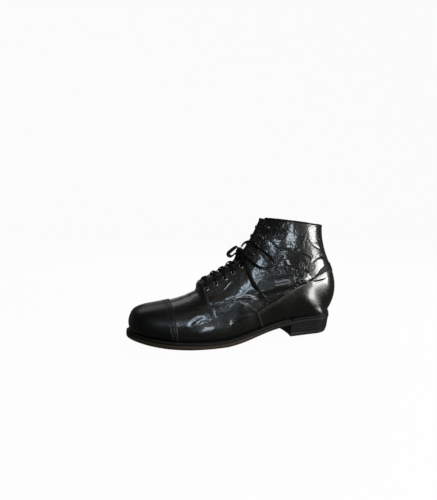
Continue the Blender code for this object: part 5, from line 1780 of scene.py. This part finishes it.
def make_floor():
    """Pale floor bent up into a round backdrop: a profile of radius and height turned about the upright."""
    bend = np.linspace(0, math.pi / 2, 24)
    rising = np.stack([FLOOR_LEVEL + FLOOR_BEND * np.sin(bend), FLOOR_BEND * (1 - np.cos(bend))], axis=1)
    profile = np.concatenate([[[0.0, 0.0], [0.6, 0.0]], rising, [[FLOOR_LEVEL + FLOOR_BEND, FLOOR_TOP]]])
    turn = np.linspace(0, 2 * math.pi, 65)
    points = np.stack([profile[:, :1] * np.cos(turn), profile[:, :1] * np.sin(turn),
                       np.repeat(profile[:, 1:], len(turn), 1)], axis=-1)
    mesh = bpy.data.meshes.new("floor")
    mesh.from_pydata(points.reshape(-1, 3).tolist(), [], grid_faces(*points.shape[:2])[:, ::-1].tolist())
    mesh.shade_smooth()
    made, tree, shader, place = new_look("floor_paper")
    shade = ramped(tree, noise(tree, place, 3.0), 0.3, 0.7)
    set_inputs(shader, {"Base Color": mixed(tree, shade, FLOOR_GREY, FLOOR_PALE), "Roughness": 0.9,
                        "Specular IOR Level": 0.1, "Emission Color": (1.0, 1.0, 1.0),
                        "Emission Strength": FLOOR_GLOW})
    mesh.materials.append(made)
    floor = bpy.data.objects.new("floor", mesh)
    bpy.context.scene.collection.objects.link(floor)
    floor.visible_glossy = False
    floor.visible_diffuse = False


Light = namedtuple("Light", "name azimuth elevation distance width height power colour")
LIGHTS = [
    Light("front_window", -8.0, 33.0, 1.15, 0.13, 0.42, 2.2, (0.70, 0.85, 1.0)),
    Light("front_middle_window", 3.0, 29.0, 1.15, 0.10, 0.12, 0.42, (0.72, 0.86, 1.0)),
    Light("front_low_window", 5.0, 1.0, 1.15, 0.26, 0.22, 2.2, (0.80, 0.90, 1.0)),
    Light("front_right_window", 27.0, 24.0, 1.15, 0.16, 0.16, 0.42, (0.80, 0.90, 1.0)),
    Light("ceiling", -15.0, 62.0, 1.3, 1.1, 0.6, 0.34, (1.0, 0.98, 0.86)),
    Light("side_window", 58.0, -0.5, 1.1, 0.46, 0.34, 8.6, (1.0, 0.99, 0.97)),
    Light("back_sky", 180.0, 45.0, 1.5, 1.4, 0.6, 2.4, (0.95, 0.97, 1.0)),
    Light("inner_window", 172.0, 9.0, 1.2, 0.70, 0.28, 0.30, (1.0, 1.0, 1.0)),
    Light("inner_sky", 125.0, 32.0, 1.4, 1.0, 0.7, 1.1, (1.0, 0.99, 0.96)),
]


def make_lights():
    """Soft windows round the boot, each turned to its middle, and a dim even sky."""
    scene = bpy.context.scene
    for light in LIGHTS:
        data = bpy.data.lights.new(light.name, "AREA")
        data.shape = "RECTANGLE"
        data.size, data.size_y = light.width, light.height
        data.energy = light.power
        data.color = light.colour
        a, e = math.radians(light.azimuth), math.radians(light.elevation)
        away = Vector((math.sin(a) * math.cos(e), -math.cos(a) * math.cos(e), math.sin(e)))
        made = bpy.data.objects.new(light.name, data)
        made.location = LIT_MIDDLE + away * light.distance
        made.rotation_mode = "QUATERNION"
        made.rotation_quaternion = (-away).to_track_quat("-Z", "Y")
        scene.collection.objects.link(made)
    scene.world = bpy.data.worlds.new("studio")
    scene.world.use_nodes = True
    set_inputs(scene.world.node_tree.nodes["Background"], {"Color": SKY_COLOUR, "Strength": SKY_STRENGTH})
    scene.view_settings.view_transform = "Standard"


def make_camera():
    """Camera at the photograph's place, with its focal length, middle and roll."""
    place, aim = Vector(to_row(CAMERA_PLACE)), Vector(to_row(CAMERA_AIM))
    ahead = (aim - place).normalized()
    right = ahead.cross(Vector((0, 0, 1))).normalized()
    up = right.cross(ahead)
    roll = math.radians(ROLL)
    right, up = right * math.cos(roll) + up * math.sin(roll), up * math.cos(roll) - right * math.sin(roll)
    data = bpy.data.cameras.new("camera")
    longest = max(IMAGE)
    data.sensor_width = SENSOR
    data.lens = SENSOR * FOCAL / longest
    data.shift_x = (IMAGE[0] / 2 - VIEW_MIDDLE[0]) / longest
    data.shift_y = (VIEW_MIDDLE[1] - IMAGE[1] / 2) / longest
    data.clip_start, data.clip_end = 0.01, 20.0
    camera = bpy.data.objects.new("camera", data)
    camera.matrix_world = Matrix((right, up, -ahead)).transposed().to_4x4()
    camera.location = place
    bpy.context.scene.collection.objects.link(camera)
    bpy.context.scene.camera = camera


make_camera()
make_bow()
make_wall()
make_toe_cap()
for quarter_side in SIDES:
    make_quarter(quarter_side)
make_foxing()
make_back_strip()
make_binding()
make_tongue()
make_stitches()
make_sole()
make_welt()
make_eyelets()
make_hooks()
make_lacing()
make_floor()
make_lights()
